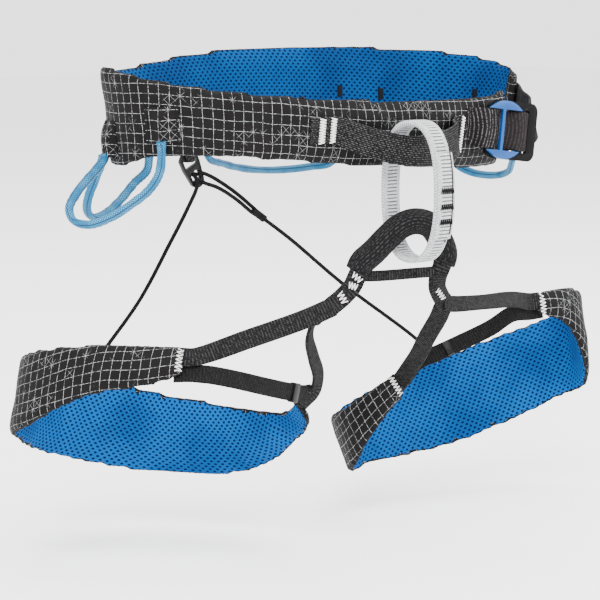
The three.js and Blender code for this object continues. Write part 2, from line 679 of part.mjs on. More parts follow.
// A moulded keeper that the elastic strap runs through.
function strapHook(name, station) {
  const clear = 0.7;
  const wall = 1.4;
  const length = 8;
  const inside = [ELASTIC.width / 2 + clear, ELASTIC.thickness / 2 + clear];
  const outline = new THREE.Shape();
  roundedBox(outline, -inside[0] - wall, inside[0] + wall, -inside[1] - wall, inside[1] + wall, 1.2);
  outline.holes.push(roundedBox(new THREE.Path(), -inside[0], inside[0], -inside[1], inside[1], 0.4));
  const options = { depth: length, bevelEnabled: false, curveSegments: 2 };
  const geometry = new THREE.ExtrudeGeometry(outline, options);
  const mesh = add(name, geometry.translate(0, 0, -length / 2), 'clip');
  const along = station.across.clone().cross(station.normal);
  mesh.quaternion.setFromRotationMatrix(new THREE.Matrix4().makeBasis(station.across, station.normal, along));
  mesh.position.copy(station.origin);
}

addRightLeg();
addLeftLeg();

// ---- Rear clip, its webbing loop and the elastic riser cord -----------------------------------

const rear = new THREE.Group();
rear.position.fromArray(CLIP.pivot);
rear.rotation.y = radians(CLIP.lean);
harness.add(rear);
rear.updateMatrixWorld();

function addRearClip() {
  const c = CLIP;
  const outline = new THREE.Shape();
  outline.moveTo(-c.halfWidth + 3, c.barTop);
  outline.lineTo(-c.halfWidth, c.barTop - 3);
  outline.lineTo(-c.halfWidth, c.windowBottom);
  outline.lineTo(-c.halfWidth + 2, c.eyeBottom);
  outline.absarc(0, c.eyeBottom, c.halfWidth - 2, Math.PI, 2 * Math.PI);
  outline.lineTo(c.halfWidth, c.windowBottom);
  outline.lineTo(c.halfWidth, c.barTop - 3);
  outline.lineTo(c.halfWidth - 3, c.barTop);
  const window = roundedBox(new THREE.Path(), -c.windowHalf, c.windowHalf, c.windowBottom, c.windowTop, 1);
  const eye = roundedBox(new THREE.Path(), -c.eyeHalf, c.eyeHalf, c.eyeBottom, c.eyeTop, 2);
  outline.holes.push(window, eye);
  add('rear_clip', plate(outline, c.thickness), 'clip', rear);
}

// The webbing loop hangs from the belt's rear edge and passes through the clip's upper window.
function addRearLoop() {
  const c = CLIP;
  const local = [[-c.loopHalfGap, c.loopTop], [-c.loopHalfGap, 6], [-c.loopHalfGap, -1], [-2.4, -3.7],
    [0, -4.7],
    [2.4, -3.7], [c.loopHalfGap, -1], [c.loopHalfGap, 6], [c.loopHalfGap, c.loopTop]];
  const path = local.map(([y, z]) => [0, y, z]);
  const facing = [[0, -1, 0], [0, -1, 0], [0, -1, -0.2], [0, -0.7, -0.7], [0, 0, -1], [0, 0.7, -0.7],
    [0, 1, -0.2],
    [0, 1, 0], [0, 1, 0]];
  const outline = () => strip(c.loopWidth / 2, -c.loopThickness / 2, c.loopThickness / 2);
  add('rear_loop', sweep(ribbonStations(path, facing, 20), outline), 'webbing', rear);
}

function addRiserCords() {
  const inClip = (x, y, z) => rear.localToWorld(new THREE.Vector3(x, y, z)).toArray();
  const throughRight = [inClip(-1.8, 5, -15), inClip(-1.8, 0, -15), inClip(-2.4, -3.6, -17),
    inClip(-4, -4, -23)];
  cord('riser_cord_right', [...throughRight, [-66, 80, -74], [-75, 90, -100], [-93, 106, -145],
    [-128, 124.5, -200]], 26);
  const loopStart = [[0.1, 77.6, -77.8], [-20, 78, -63], [-44, 77.5, -49.5]];
  const bend = [inClip(3.2, -4.2, -16), inClip(2.4, 0, -17.2), inClip(2.4, 4.6, -17)];
  cord('riser_cord_loop_upper', [...loopStart, ...bend], 16);
  const lower = [[-2.1, 77.5, -80.7], [-20, 76.5, -68.5], [-38, 76.5, -58.5], inClip(1.5, -5.5, -23.5),
    inClip(1.4, -4.6, -21.8)];
  cord('riser_cord_loop_lower', lower, 12);
  cord('riser_cord_left', [[8.2, 75.6, -86.2], [32, 71.5, -103.5], [84, 65.5, -144], [156, 57, -194],
    [184, 60.5, -214]], 18);
  const tube = new THREE.Shape().absarc(0, 0, 3.7, 0, 2 * Math.PI);
  const sleevePath = new THREE.LineCurve3(vector([-0.5, 77.5, -79.6]), vector([7.8, 75.7, -85.8]));
  const options = { steps: 1, extrudePath: sleevePath, bevelEnabled: false, curveSegments: 5 };
  add('riser_cord_sleeve', new THREE.ExtrudeGeometry(tube, options), 'clip');
}

addRearClip();
addRearLoop();
addRiserCords();

export default harness;
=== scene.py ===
import json
from math import copysign, cos, exp, floor, pi, radians, sin

import bpy
import numpy as np
from mathutils import Matrix, Vector
from mathutils.bvhtree import BVHTree
from mathutils.kdtree import KDTree


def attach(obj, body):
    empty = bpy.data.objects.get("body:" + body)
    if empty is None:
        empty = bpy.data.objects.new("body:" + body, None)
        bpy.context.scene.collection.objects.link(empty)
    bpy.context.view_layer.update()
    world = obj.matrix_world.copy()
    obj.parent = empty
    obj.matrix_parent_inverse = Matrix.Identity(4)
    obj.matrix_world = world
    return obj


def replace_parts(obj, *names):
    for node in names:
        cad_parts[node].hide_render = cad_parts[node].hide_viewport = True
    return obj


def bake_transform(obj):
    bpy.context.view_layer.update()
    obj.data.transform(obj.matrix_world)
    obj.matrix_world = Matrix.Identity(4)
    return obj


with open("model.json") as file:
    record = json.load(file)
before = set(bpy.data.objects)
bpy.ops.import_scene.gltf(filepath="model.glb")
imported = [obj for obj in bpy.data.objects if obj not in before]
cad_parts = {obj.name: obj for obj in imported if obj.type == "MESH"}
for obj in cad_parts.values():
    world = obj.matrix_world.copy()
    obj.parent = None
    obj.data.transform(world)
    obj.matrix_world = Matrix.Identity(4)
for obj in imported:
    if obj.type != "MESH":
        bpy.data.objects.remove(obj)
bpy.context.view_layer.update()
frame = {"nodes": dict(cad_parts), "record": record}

MM = 0.001
SEED = 7

# ---- Camera ----

CAMERA_RIGHT = (0.7523, -0.6588, 0.0)
CAMERA_UP = (0.0942, 0.1076, 0.9896)
CAMERA_BACK = (-0.652, -0.7445, 0.143)
CAMERA_AT = (-1.1328, -1.2711, 0.1035)
CAMERA_LENS_MM = 133.6


def add_camera():
    camera = bpy.data.objects.new("camera", bpy.data.cameras.new("camera"))
    bpy.context.scene.collection.objects.link(camera)
    columns = Matrix((CAMERA_RIGHT, CAMERA_UP, CAMERA_BACK)).transposed()
    camera.matrix_world = Matrix.Translation(CAMERA_AT) @ columns.normalized().to_4x4()
    camera.data.lens = CAMERA_LENS_MM
    camera.data.clip_end = 20
    bpy.context.scene.camera = camera


add_camera()


# ---- Shader nodes ----


class Shader:
    """A material built from procedural nodes. Coordinates are in millimetres."""

    def __init__(self, name, use_uv=True):
        self.material = bpy.data.materials.new(name)
        self.material.use_nodes = True
        self.tree = self.material.node_tree
        self.surface = self.tree.nodes["Principled BSDF"]
        source = self.node("TexCoord")
        self.solid = self.scaled(source.outputs["Object"], 1 / MM)
        self.flat = self.scaled(source.outputs["UV"], 1 / MM) if use_uv else self.solid
        split = self.node("SeparateXYZ")
        self.tree.links.new(self.flat, split.inputs[0])
        self.along, self.across = split.outputs[0], split.outputs[1]
        self.height = None

    def put(self, socket, value):
        if isinstance(value, bpy.types.NodeSocket):
            self.tree.links.new(value, socket)
        else:
            socket.default_value = (*value, 1.0) if isinstance(value, tuple) else value

    def node(self, kind, **inputs):
        """A new node with these inputs, their spaces written as underscores."""
        node = self.tree.nodes.new("ShaderNode" + kind)
        for name, value in inputs.items():
            self.put(node.inputs[name.replace("_", " ")], value)
        return node

    def scaled(self, vector, factor):
        node = self.node("VectorMath")
        node.operation = "SCALE"
        self.put(node.inputs[0], vector)
        self.put(node.inputs["Scale"], factor)
        return node.outputs[0]

    def math(self, operation, *values):
        node = self.node("Math")
        node.operation = operation
        for socket, value in zip(node.inputs, values):
            self.put(socket, value)
        return node.outputs[0]

    def add(self, a, b):
        return self.math("ADD", a, b)

    def minus(self, a, b):
        return self.math("SUBTRACT", a, b)

    def rest(self, value):
        """What the value leaves of 1."""
        return self.minus(1.0, value)

    def times(self, *values):
        product = values[0]
        for value in values[1:]:
            product = self.math("MULTIPLY", product, value)
        return product

    def most(self, a, b):
        return self.math("MAXIMUM", a, b)

    def limit(self, value, low, high):
        """0 below low, 1 above high, smooth between."""
        node = self.node("MapRange", Value=value, From_Min=low, From_Max=high)
        node.interpolation_type = "SMOOTHSTEP"
        return node.outputs[0]

    def noise(self, size, detail=2.0):
        return self.node("TexNoise", Vector=self.solid, Scale=1 / size, Detail=detail).outputs[0]

    def waver(self, value, size, amount):
        """The value pushed to and fro by noise."""
        return self.add(value, self.times(self.minus(self.noise(size), 0.5), amount))

    def line(self, value, pitch, width, shift=0.0):
        """1 on thin lines at every pitch."""
        turn = self.math("FRACT", self.add(self.math("DIVIDE", value, pitch), shift))
        away = self.times(self.math("ABSOLUTE", self.minus(turn, 0.5)), pitch)
        return self.rest(self.limit(away, width * 0.25, width * 0.75))

    def wave(self, value, pitch, shift=0.0):
        """A sine of this pitch, from 0 to 1."""
        turn = self.add(self.times(value, 2 * pi / pitch), shift)
        return self.add(self.times(self.math("SINE", turn), 0.5), 0.5)

    def plait(self, slope, pitch):
        """Two sets of slanting waves that cross, and the higher of them."""
        one = self.wave(self.add(self.along, self.times(self.across, slope)), pitch)
        two = self.wave(self.minus(self.along, self.times(self.across, slope)), pitch)
        return one, two, self.most(one, two)

    def mix(self, share, a, b):
        node = self.node("Mix")
        node.data_type = "RGBA"
        for socket, value in zip((0, 6, 7), (share, a, b)):
            self.put(node.inputs[socket], value)
        return node.outputs[2]

    def bump(self, height, depth_mm, strength=0.8):
        node = self.node("Bump", Strength=strength, Distance=depth_mm * MM, Height=height)
        if self.height is not None:
            self.put(node.inputs["Normal"], self.height)
        self.height = node.outputs["Normal"]

    def finish(self, color, roughness, metallic=0.0, specular=0.5):
        values = {"Base Color": color, "Roughness": roughness, "Metallic": metallic}
        values["Specular IOR Level"] = specular
        for name, value in values.items():
            self.put(self.surface.inputs[name], value)
        if self.height is not None:
            self.put(self.surface.inputs["Normal"], self.height)
        return self.material


BLACK = (0.0020, 0.0018, 0.0017)
GREY_THREAD = (0.20, 0.20, 0.21)


def ripstop():
    s = Shader("ripstop_black")
    u = s.waver(s.along, 30, 2.6)
    v = s.waver(s.across, 26, 2.4)
    cell = 7.2
    grid = s.most(s.line(u, cell, 0.23), s.line(v, cell, 0.23))
    dash = s.limit(s.noise(1.3, 1), 0.42, 0.54)
    grid = s.times(grid, s.add(s.times(dash, 0.8), 0.2))
    slants = s.most(s.line(s.add(u, v), cell, 0.26, 0.5), s.line(s.minus(u, v), cell, 0.26, 0.5))
    patch = s.limit(s.noise(15, 1), 0.57, 0.64)
    lines = s.most(grid, s.times(slants, s.times(patch, 0.45)))
    tone = s.mix(s.noise(14, 3), BLACK, (0.006, 0.0055, 0.0055))
    color = s.mix(s.times(lines, 0.8), tone, (0.50, 0.51, 0.52))
    s.bump(lines, 0.1)
    s.bump(s.times(s.wave(s.along, 0.62), s.wave(s.across, 0.62)), 0.05, 0.5)
    s.bump(s.noise(9, 3), 1.1, 0.45)
    return s.finish(color, s.add(0.6, s.times(s.noise(8, 2), 0.25)), specular=0.09)


def spacer_mesh(name, depth=1.0):
    """A knitted mesh with rows of holes. `depth` scales its colours; below 1 it darkens them as painted
    shade.
    """
    s = Shader(name)
    pitch = 5.2
    row = s.math("FLOOR", s.math("DIVIDE", s.across, pitch * 0.5))
    shift = s.times(s.math("FRACT", s.times(row, 0.5)), pitch)
    across = s.minus(s.math("FRACT", s.math("DIVIDE", s.across, pitch * 0.5)), 0.5)
    along = s.minus(s.math("FRACT", s.math("DIVIDE", s.add(s.along, shift), pitch)), 0.5)
    dx = s.times(along, pitch)
    dy = s.times(across, pitch * 0.5)
    away = s.math("SQRT", s.add(s.times(dx, dx), s.times(dy, dy, 1.7)))
    hole = s.rest(s.limit(away, 0.80, 1.30))
    knit = s.wave(s.across, 1.1)
    tones = (0.0001, 0.034, 0.145), (0.0003, 0.062, 0.235), (0.0008, 0.10, 0.33)
    low, high, crest = [tuple(depth * c for c in tone) for tone in tones]
    tone = s.mix(s.limit(s.noise(48, 2), 0.34, 0.66), low, high)
    lit = s.mix(s.times(knit, 0.3), tone, crest)
    color = s.mix(s.times(hole, 0.97), lit, (0.0002, 0.0025, 0.016))
    s.bump(s.rest(hole), 0.6, 0.9)
    s.bump(knit, 0.12, 0.6)
    return s.finish(color, 0.9, specular=0.05)


def webbing(name, base, thread, rib=1.3, dash=3.2, share=0.4, cross=0.0):
    """Woven strap: rows of dashes run lengthwise, and `cross` is how far its ribs show."""
    s = Shader(name)
    rows = s.wave(s.along, rib)
    pitch = 1.3
    columns = s.wave(s.across, pitch)
    step = s.math("FLOOR", s.math("DIVIDE", s.across, pitch))
    slant = s.add(s.along, s.times(step, dash * 0.38))
    dashes = s.times(s.line(slant, dash, dash * 0.7), s.limit(columns, 0.5, 0.9))
    fleck = s.limit(s.noise(1.6, 1), 0.36, 0.56)
    tone = s.mix(s.noise(6, 3), base, tuple(min(1, c * 1.7 + 0.002) for c in base))
    raised = s.limit(s.wave(s.waver(s.along, 6, 0.5), 2.3), 0.62, 0.95)
    ribs = s.times(raised, s.limit(s.noise(2.4, 1), 0.36, 0.6))
    marks = s.most(s.times(dashes, fleck, share), s.times(ribs, cross))
    color = s.mix(marks, tone, thread)
    s.bump(s.times(rows, columns), 0.22, 0.9)
    s.bump(s.wave(s.along, 2.3), 0.25, min(0.9, 0.3 + cross))
    return s.finish(color, s.add(0.65, s.times(s.noise(3, 2), 0.2)), specular=0.07)


def belay_webbing():
    s = Shader("belay_webbing_white")
    ladder = s.line(s.waver(s.along, 5, 0.4), 2.6, 1.0)
    inner = s.rest(s.limit(s.math("ABSOLUTE", s.across), 4.6, 5.2))
    chevron = s.line(s.add(s.along, s.times(s.math("ABSOLUTE", s.across), 1.4)), 2.2, 0.8)
    outer = s.limit(s.math("ABSOLUTE", s.across), 4.6, 5.2)
    ticks = s.most(s.times(ladder, inner), s.times(chevron, s.times(outer, 0.6)))
    ribs = s.wave(s.across, 1.1)
    fleck = s.limit(s.noise(0.9, 1), 0.48, 0.62)
    tone = s.mix(s.noise(5, 3), (0.42, 0.43, 0.44), (0.66, 0.67, 0.68))
    color = s.mix(s.times(ticks, 0.92), tone, (0.02, 0.02, 0.023))
    color = s.mix(s.times(fleck, 0.45), color, (0.10, 0.10, 0.105))
    rail = s.line(s.add(s.across, 2.6), 100, 0.5, 0.5)
    color = s.mix(s.times(rail, 0.6), color, (0.2, 0.2, 0.2))
    s.bump(ribs, 0.15, 0.8)
    s.bump(s.wave(s.along, 1.55), 0.2, 0.8)
    return s.finish(color, 0.75, specular=0.12)


def buckle_webbing():
    s = Shader("buckle_webbing_grey")
    bow = s.times(s.across, s.across, 0.012)
    rows = s.line(s.waver(s.add(s.along, bow), 12, 1.4), 3.1, 0.9)
    fleck = s.limit(s.noise(0.9, 1), 0.38, 0.6)
    fade = s.limit(s.along, 30, 50)
    base = s.mix(fade, BLACK, (0.007, 0.0055, 0.006))
    thread = s.mix(fade, (0.14, 0.135, 0.14), (0.045, 0.036, 0.038))
    tone = s.mix(s.times(s.noise(5, 3), 0.6), base, (0.012, 0.010, 0.011))
    color = s.mix(s.times(rows, fleck, 0.6), tone, thread)
    s.bump(s.times(s.wave(s.along, 1.2), s.wave(s.across, 1.3)), 0.2, 0.9)
    s.bump(rows, 0.15, 0.6)
    return s.finish(color, 0.75, specular=0.08)


def ribbed_sleeve():
    s = Shader("gear_loop_blue")
    one, two, cross = s.plait(0.8, 2.0)
    tone = s.mix(s.noise(9, 2), (0.0006, 0.085, 0.20), (0.002, 0.16, 0.32))
    # Painted highlight: the weave lightened where both plaits crest, in patches.
    light = s.times(s.limit(s.times(one, two), 0.25, 0.7), s.limit(s.noise(14, 1), 0.42, 0.58))
    color = s.mix(s.times(light, 0.4), tone, (0.22, 0.52, 0.66))
    color = s.mix(s.times(s.rest(s.limit(cross, 0.35, 0.85)), 0.75), color, (0.0006, 0.02, 0.07))
    seam = s.line(s.across, 5.5, 0.9, 0.25)
    color = s.mix(s.times(seam, 0.85), color, (0.0006, 0.012, 0.045))
    s.bump(cross, 0.28, 0.9)
    return s.finish(color, 0.5, specular=0.2)


def braid(name, base, thread):
    s = Shader(name)
    _, _, cross = s.plait(1.1, 2.2)
    color = s.mix(s.times(s.limit(cross, 0.6, 1.0), 0.5), base, thread)
    s.bump(cross, 0.25, 0.9)
    return s.finish(color, 0.8, specular=0.08)


def thread(name, base, dark):
    s = Shader(name)
    twist = s.wave(s.add(s.along, s.times(s.across, 1.5)), 0.9)
    color = s.mix(s.times(twist, 0.4), base, dark)
    s.bump(twist, 0.08, 0.7)
    return s.finish(color, 0.7, specular=0.1)


def anodised():
    s = Shader("anodised_blue", use_uv=False)
    worn = s.limit(s.noise(2.2, 4), 0.60, 0.80)
    tone = s.mix(s.noise(18, 2), (0.0004, 0.040, 0.17), (0.001, 0.058, 0.23))
    color = s.mix(s.times(worn, 0.12), tone, (0.03, 0.16, 0.42))
    s.bump(s.noise(0.7, 2), 0.03, 0.4)
    return s.finish(color, s.add(0.24, s.times(s.noise(3, 3), 0.16)), metallic=0.25, specular=0.3)


def speckled(name, patch, low, high, grain, grain_strength, gloss, gloss_range, specular):
    """Plain metal or plastic, a little uneven in tone and gloss."""
    s = Shader(name, use_uv=False)
    color = s.mix(s.noise(patch, 3), low, high)
    s.bump(s.noise(grain, 2), 0.04, grain_strength)
    return s.finish(color, s.add(gloss, s.times(s.noise(4, 2), gloss_range)), specular=specular)


def solid_cloth():
    s = Shader("tab_cloth_black", use_uv=False)
    weave = s.noise(0.8, 2)
    color = s.mix(weave, BLACK, (0.012, 0.011, 0.011))
    s.bump(weave, 0.15, 0.8)
    return s.finish(color, 0.8, specular=0.08)


MATERIALS = {
    "shell": ripstop(),
    "lining": spacer_mesh("spacer_mesh_blue"),
    # The same lining darkened: painted shade for inside the waist belt.
    "lining_painted_shade": spacer_mesh("spacer_mesh_blue_painted_shade", 0.58),
    "binding": webbing("binding_black", BLACK, GREY_THREAD, rib=1.0, dash=2.0, share=0.25),
    "webbing": webbing("webbing_black", BLACK, (0.06, 0.06, 0.063), share=0.3, cross=0.45),
    "tie_in": webbing("tie_in_webbing", BLACK, (0.13, 0.13, 0.135), rib=1.5, dash=3.4,
        share=0.45, cross=0.06),
    "sleeve": webbing("sleeve_webbing", (0.0025, 0.0024, 0.0026), (0.055, 0.055, 0.058), dash=5.2,
        share=0.5),
    "greyWebbing": buckle_webbing(),
    "belay": belay_webbing(),
    "elastic": webbing("elastic_black", (0.002, 0.0019, 0.0019), (0.03, 0.03, 0.032), rib=0.9,
        share=0.4, cross=0.3),
    "gear": ribbed_sleeve(),
    "cord": braid("cord_dark", (0.0018, 0.0018, 0.002), (0.012, 0.012, 0.013)),
    "thread": thread("thread_white", (0.84, 0.83, 0.81), (0.5, 0.5, 0.49)),
    "darkThread": thread("thread_black", (0.003, 0.003, 0.0033), (0.012, 0.012, 0.013)),
    "anodised": anodised(),
    "frame": speckled("coated_black", 7, (0.0010, 0.0010, 0.0011), (0.0025, 0.0025, 0.0027), 0.5, 0.5,
                      0.45, 0.2, 0.06),
    "clip": speckled("moulded_black", 5, (0.003, 0.003, 0.0033), (0.008, 0.008, 0.009), 0.9, 0.4,
                     0.3, 0.14, 0.14),
    "tab": solid_cloth(),
}


# ---- Meshes ----


def new_object(name, points, faces, material, uvs):
    """An object from points in millimetres. uvs holds one (u, v) in millimetres per face corner."""
    mesh = bpy.data.meshes.new(name)
    mesh.from_pydata((np.asarray(points, float) * MM).tolist(), [], faces)
    layer = mesh.uv_layers.new(name="UVMap")
    layer.data.foreach_set("uv", (np.asarray(uvs, float) * MM).ravel())
    mesh.polygons.foreach_set("use_smooth", [True] * len(mesh.polygons))
    mesh.materials.append(MATERIALS[material])
    mesh.update()
    obj = bpy.data.objects.new(name, mesh)
    bpy.context.scene.collection.objects.link(obj)
    return obj


def settle(obj, body, material, *replaced):
    """Hangs a finished piece on its body and hides the CAD parts it stands for."""
    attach(obj, body)
    if replaced:
        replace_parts(obj, *replaced)
    return obj


def loft(name, rings, u, v, material, closed=False):
    """Skins rings, an array of stations by section points. u runs by station and v by section point."""
    rings = np.asarray(rings, float)
    count, around = rings.shape[:2]
    spans = count if closed else count - 1
    faces, uvs = [], []
    for i in range(spans):
        j = (i + 1) % count
        u0, u1 = u[i], u[i + 1] if i + 1 < len(u) else u[i] + (u[1] - u[0])
        for k in range(around):
            m = (k + 1) % around
            faces.append((i * around + k, i * around + m, j * around + m, j * around + k))
            uvs += [(u0, v[k]), (u0, v[k + 1]), (u1, v[k + 1]), (u1, v[k])]
    if not closed:
        faces.append(tuple(range(around))[::-1])
        faces.append(tuple((count - 1) * around + k for k in range(around)))
        uvs += [(u[0], v[k]) for k in range(around)][::-1] + [(u[-1], v[k]) for k in range(around)]
    return new_object(name, rings.reshape(-1, 3), faces, material, uvs)


def vertices_of(obj):
    """An object's vertices as an array, in metres."""
    return np.array([v.co for v in obj.data.vertices])


def distances(points):
    """The distance from the first point to each point, along the line through them."""
    return np.concatenate([[0], np.cumsum(np.linalg.norm(np.diff(points, axis=0), axis=1))])


def turns(count):
    """Angles spread evenly over one turn."""
    return np.linspace(0, 2 * pi, count, endpoint=False)


def dots(a, b):
    return np.einsum("ij,ij->i", a, b)


def unit(vector):
    vector = np.asarray(vector, float)
    return vector / np.linalg.norm(vector, axis=-1, keepdims=True)


def curve_point(points, t):
    """A point on the centripetal Catmull-Rom curve through the points, t from 0 to 1."""
    place = (len(points) - 1) * t
    i = min(int(place), len(points) - 2)
    w = place - i
    p1, p2 = points[i], points[i + 1]
    p0 = points[i - 1] if i else 2 * p1 - p2
    p3 = points[i + 2] if i + 2 < len(points) else 2 * p2 - p1
    d0, d1, d2 = [max(np.linalg.norm(b - a), 1e-6) ** 0.5 for a, b in ((p0, p1), (p1, p2), (p2, p3))]
    t1 = ((p1 - p0) / d0 - (p2 - p0) / (d0 + d1) + (p2 - p1) / d1) * d1
    t2 = ((p2 - p1) / d1 - (p3 - p1) / (d1 + d2) + (p3 - p2) / d2) * d1
    return p1 + t1 * w + (3 * (p2 - p1) - 2 * t1 - t2) * w**2 + (2 * (p1 - p2) + t1 + t2) * w**3


class Path:
    """Stations along a curve: origins, directions across and normals, and the length so far."""

    def __init__(self, points, facing, steps):
        points = [np.array(p, float) for p in points]
        facing = [np.array(f, float) for f in (facing if len(facing) > 1 else list(facing) * len(points))]
        ts = np.linspace(0, 1, steps + 1)
        self.origin = np.array([curve_point(points, t) for t in ts])
        turn = np.array([curve_point(facing, t) for t in ts])
        along = unit(np.gradient(self.origin, axis=0))
        self.across = unit(np.cross(turn, along))
        self.normal = np.cross(along, self.across)
        self.along = along
        self.length = distances(self.origin)


def rings_along(line, section):
    """A section set out along a path or a band: a list of (across, out), or one list per station."""
    section = np.asarray(section, float)
    sideways = line.across[:, None] * section[..., :1]
    return line.origin[:, None] + sideways + line.normal[:, None] * section[..., 1:]


def strap_section(width, thickness, crown=0.12):
    """A flat strap's section: straight faces, a slight crown and rounded edges."""
    half, t = width / 2, thickness / 2
    xs = [-1, -0.93, -0.6, -0.2, 0.2, 0.6, 0.93, 1]
    top = [(half * x, t * (1 - 0.75 * (abs(x) > 0.99) + crown * (1 - x * x))) for x in xs]
    return top + [(x, -y) for x, y in top[::-1]]


def lap(section):
    """The v coordinate of a tube: the distance round its section."""
    section = np.asarray(section, float)
    return distances(np.vstack([section, section[:1]]))


def across_of(section):
    """The v coordinate of a strap: the distance across it, the same on both faces."""
    return [x for x, _ in section] + [section[0][0]]


ROD_FACING = (0.1, 0.2, 1)


def ribbon(name, body, material, points, facing, width, thickness, steps=40, replaced=(), widths=None):
    """A flat strap along a curve. `widths` gives its width at even steps where it changes."""
    path = Path(points, facing, steps)
    section = strap_section(width, thickness)
    if widths is None:
        rings = rings_along(path, section)
    else:
        share = np.interp(np.linspace(0, 1, steps + 1), np.linspace(0, 1, len(widths)), widths) / width
        rings = rings_along(path, np.array([[(x * k, y) for x, y in section] for k in share]))
    settle(loft(name, rings, path.length, across_of(section), material), body, material, *replaced)
    return path


def rod(name, material, points, radius, steps, sides, flatness=1.0):
    """A round or flattened length of cord, on no body yet."""
    path = Path(points, [ROD_FACING], steps)
    section = [(radius * cos(a), radius * flatness * sin(a)) for a in turns(sides)]
    return loft(name, rings_along(path, section), path.length, lap(section), material)


def tube(name, body, material, points, radius, steps, sides, replaced=(), flatness=1.0):
    return settle(rod(name, material, points, radius, steps, sides, flatness), body, material, *replaced)


def box_axes(node):
    """A box-shaped CAD node's centre and its long, middle and short half axes, in millimetres."""
    points = np.unique((vertices_of(frame["nodes"][node]) / MM).round(3), axis=0)
    centre = points.mean(axis=0)
    _, vectors = np.linalg.eigh(np.cov((points - centre).T))
    halves = [vectors[:, i] * np.abs((points - centre) @ vectors[:, i]).max() for i in (2, 1, 0)]
    return centre, *halves


GROUND = {}


def seat_on(ground, point, normal, lift=0.0):
    """The point moved along the normal on to the named pad's surface."""
    reach = 14.0
    hit = GROUND[ground].ray_cast(Vector(point + normal * reach), Vector(-normal), 2 * reach)[0]
    return (point if hit is None else np.array(hit)) + normal * lift


THREAD_RADIUS = 0.42


def zigzag(name, body, material, centre, long_half, short_half, out, strokes, radius=THREAD_RADIUS,
    replaced=(), ground=None):
    """A bar tack: strokes of thread to and fro across a strap."""
    normal = unit(out)
    corners = []
    for i in range(strokes * 2 + 1):
        share = i / strokes - 1
        side = 1 if i % 2 else -1
        corners.append(centre + long_half * share + short_half * side)
    points, faces, uvs = [], [], []
    sides = 5
    for a, b in zip(corners[:-1], corners[1:]):
        along = unit(b - a)
        side = unit(np.cross(normal, along))
        base = len(points)
        lift = (0.0, 0.35, 0.35, 0.0)
        for share, height in zip((0, 0.2, 0.8, 1), lift):
            for k in range(sides):
                angle = 2 * pi * k / sides
                offset = side * cos(angle) * radius + normal * (sin(angle) * radius + height)
                spot = a + (b - a) * share
                spot = seat_on(ground, spot, normal) if ground else spot
                points.append(spot + offset)
        length = np.linalg.norm(b - a)
        for ring in range(3):
            near, far = base + ring * sides, base + (ring + 1) * sides
            u0, u1 = length * ring / 3, length * (ring + 1) / 3
            for k in range(sides):
                m = (k + 1) % sides
                faces.append((near + k, near + m, far + m, far + k))
                uvs += [(u0, k), (u0, k + 1), (u1, k + 1), (u1, k)]
        faces.append(tuple(base + k for k in range(sides))[::-1])
        faces.append(tuple(base + 3 * sides + k for k in range(sides)))
        uvs += [(0, 0)] * (2 * sides)
    return settle(new_object(name, points, faces, material, uvs), body, material, *replaced)


BODY_OF = {node: body for body, nodes in frame["record"]["behaviour"]["bodies"].items() for node in nodes}


def tack(node, strokes=13, material="thread", outward=None, grow=1.0, radius=THREAD_RADIUS, ground=None,
    shift=(0, 0, 0)):
    """The stitches that stand for a CAD bar tack."""
    centre, long_half, short_half, thin = box_axes(node)
    away = np.array(outward if outward is not None else centre * (1, 1, 0), float)
    thin = thin if thin @ away > 0 else -thin
    seat = centre - thin * 0.6 + np.array(shift, float)
    return zigzag(node + "_stitches", BODY_OF[node], material, seat, long_half * grow, short_half, thin,
        strokes, radius, [node], ground)


def rounded(node, material, bevel_mm, segments=2, shrink=1.0):
    """A CAD node's shape with its edges rounded over, in its own material."""
    source = frame["nodes"][node]
    mesh = source.data.copy()
    middle = sum((v.co for v in mesh.vertices), Vector()) / len(mesh.vertices)
    mesh.transform(Matrix.Translation(middle) @ Matrix.Scale(shrink, 4) @ Matrix.Translation(-middle))
    obj = bpy.data.objects.new(node + "_finished", mesh)
    bpy.context.scene.collection.objects.link(obj)
    mesh.materials.clear()
    mesh.materials.append(MATERIALS[material])
    bpy.context.view_layer.objects.active = obj
    weld = obj.modifiers.new("weld", "WELD")
    weld.merge_threshold = 1e-5
    bevel = obj.modifiers.new("bevel", "BEVEL")
    bevel.width = bevel_mm * MM
    bevel.segments = segments
    bevel.limit_method = "ANGLE"
    bevel.angle_limit = radians(32)
    apply_modifiers(obj)
    for polygon in obj.data.polygons:
        polygon.use_smooth = True
    obj.data.set_sharp_from_angle(angle=radians(34))
    return settle(obj, BODY_OF[node], material, node)


def apply_modifiers(obj):
    graph = bpy.context.evaluated_depsgraph_get()
    graph.update()
    done = bpy.data.meshes.new_from_object(obj.evaluated_get(graph))
    old = obj.data
    obj.modifiers.clear()
    obj.data = done
    bpy.data.meshes.remove(old)


# ---- Padded bands: the same ovals as the CAD, in millimetres ----

LOOP_STEPS = 420
SHELL_OUT = 4.0
WAIST = {
    "half": (183, 74), "roundness": 2.3, "flare": 7, "start": -294, "end": 45.3,
    "angles": [-180, -130, -100, -70, -35, 0, 35, 70, 110],
    "top": [50, 38, 42, 34, 24, 16, 16, 31, 44],
    "bottom": [-26, -23, -31, -22, -25, -36, -43, -41, -47],
}
WIDTH_ANGLES = [0, 45, 90, 135, 180, 225, 270, 315]
RIGHT_LEG = {
    "centre": (-136, 24, -187), "turn": (-25, 3, -58), "half": (100, 76), "roundness": 2.6,
    "saddle": (-1, -6), "widths": [18, 28, 68, 69, 63, 58, 36, 11], "cone": (21, 19, 18),
    "start": 12, "end": 290,
}
LEFT_LEG = {
    "centre": (154, 6, -198), "turn": (-24, -22, -23), "half": (115, 57), "roundness": 2.5,
    "saddle": (-5, -4), "widths": [69, 70, 74, 57, 48, 26, 14, 27], "cone": (-7, -14, 8),
    "start": -60, "end": 240,
}


def signed_power(value, power):
    return copysign(abs(value) ** power, value)


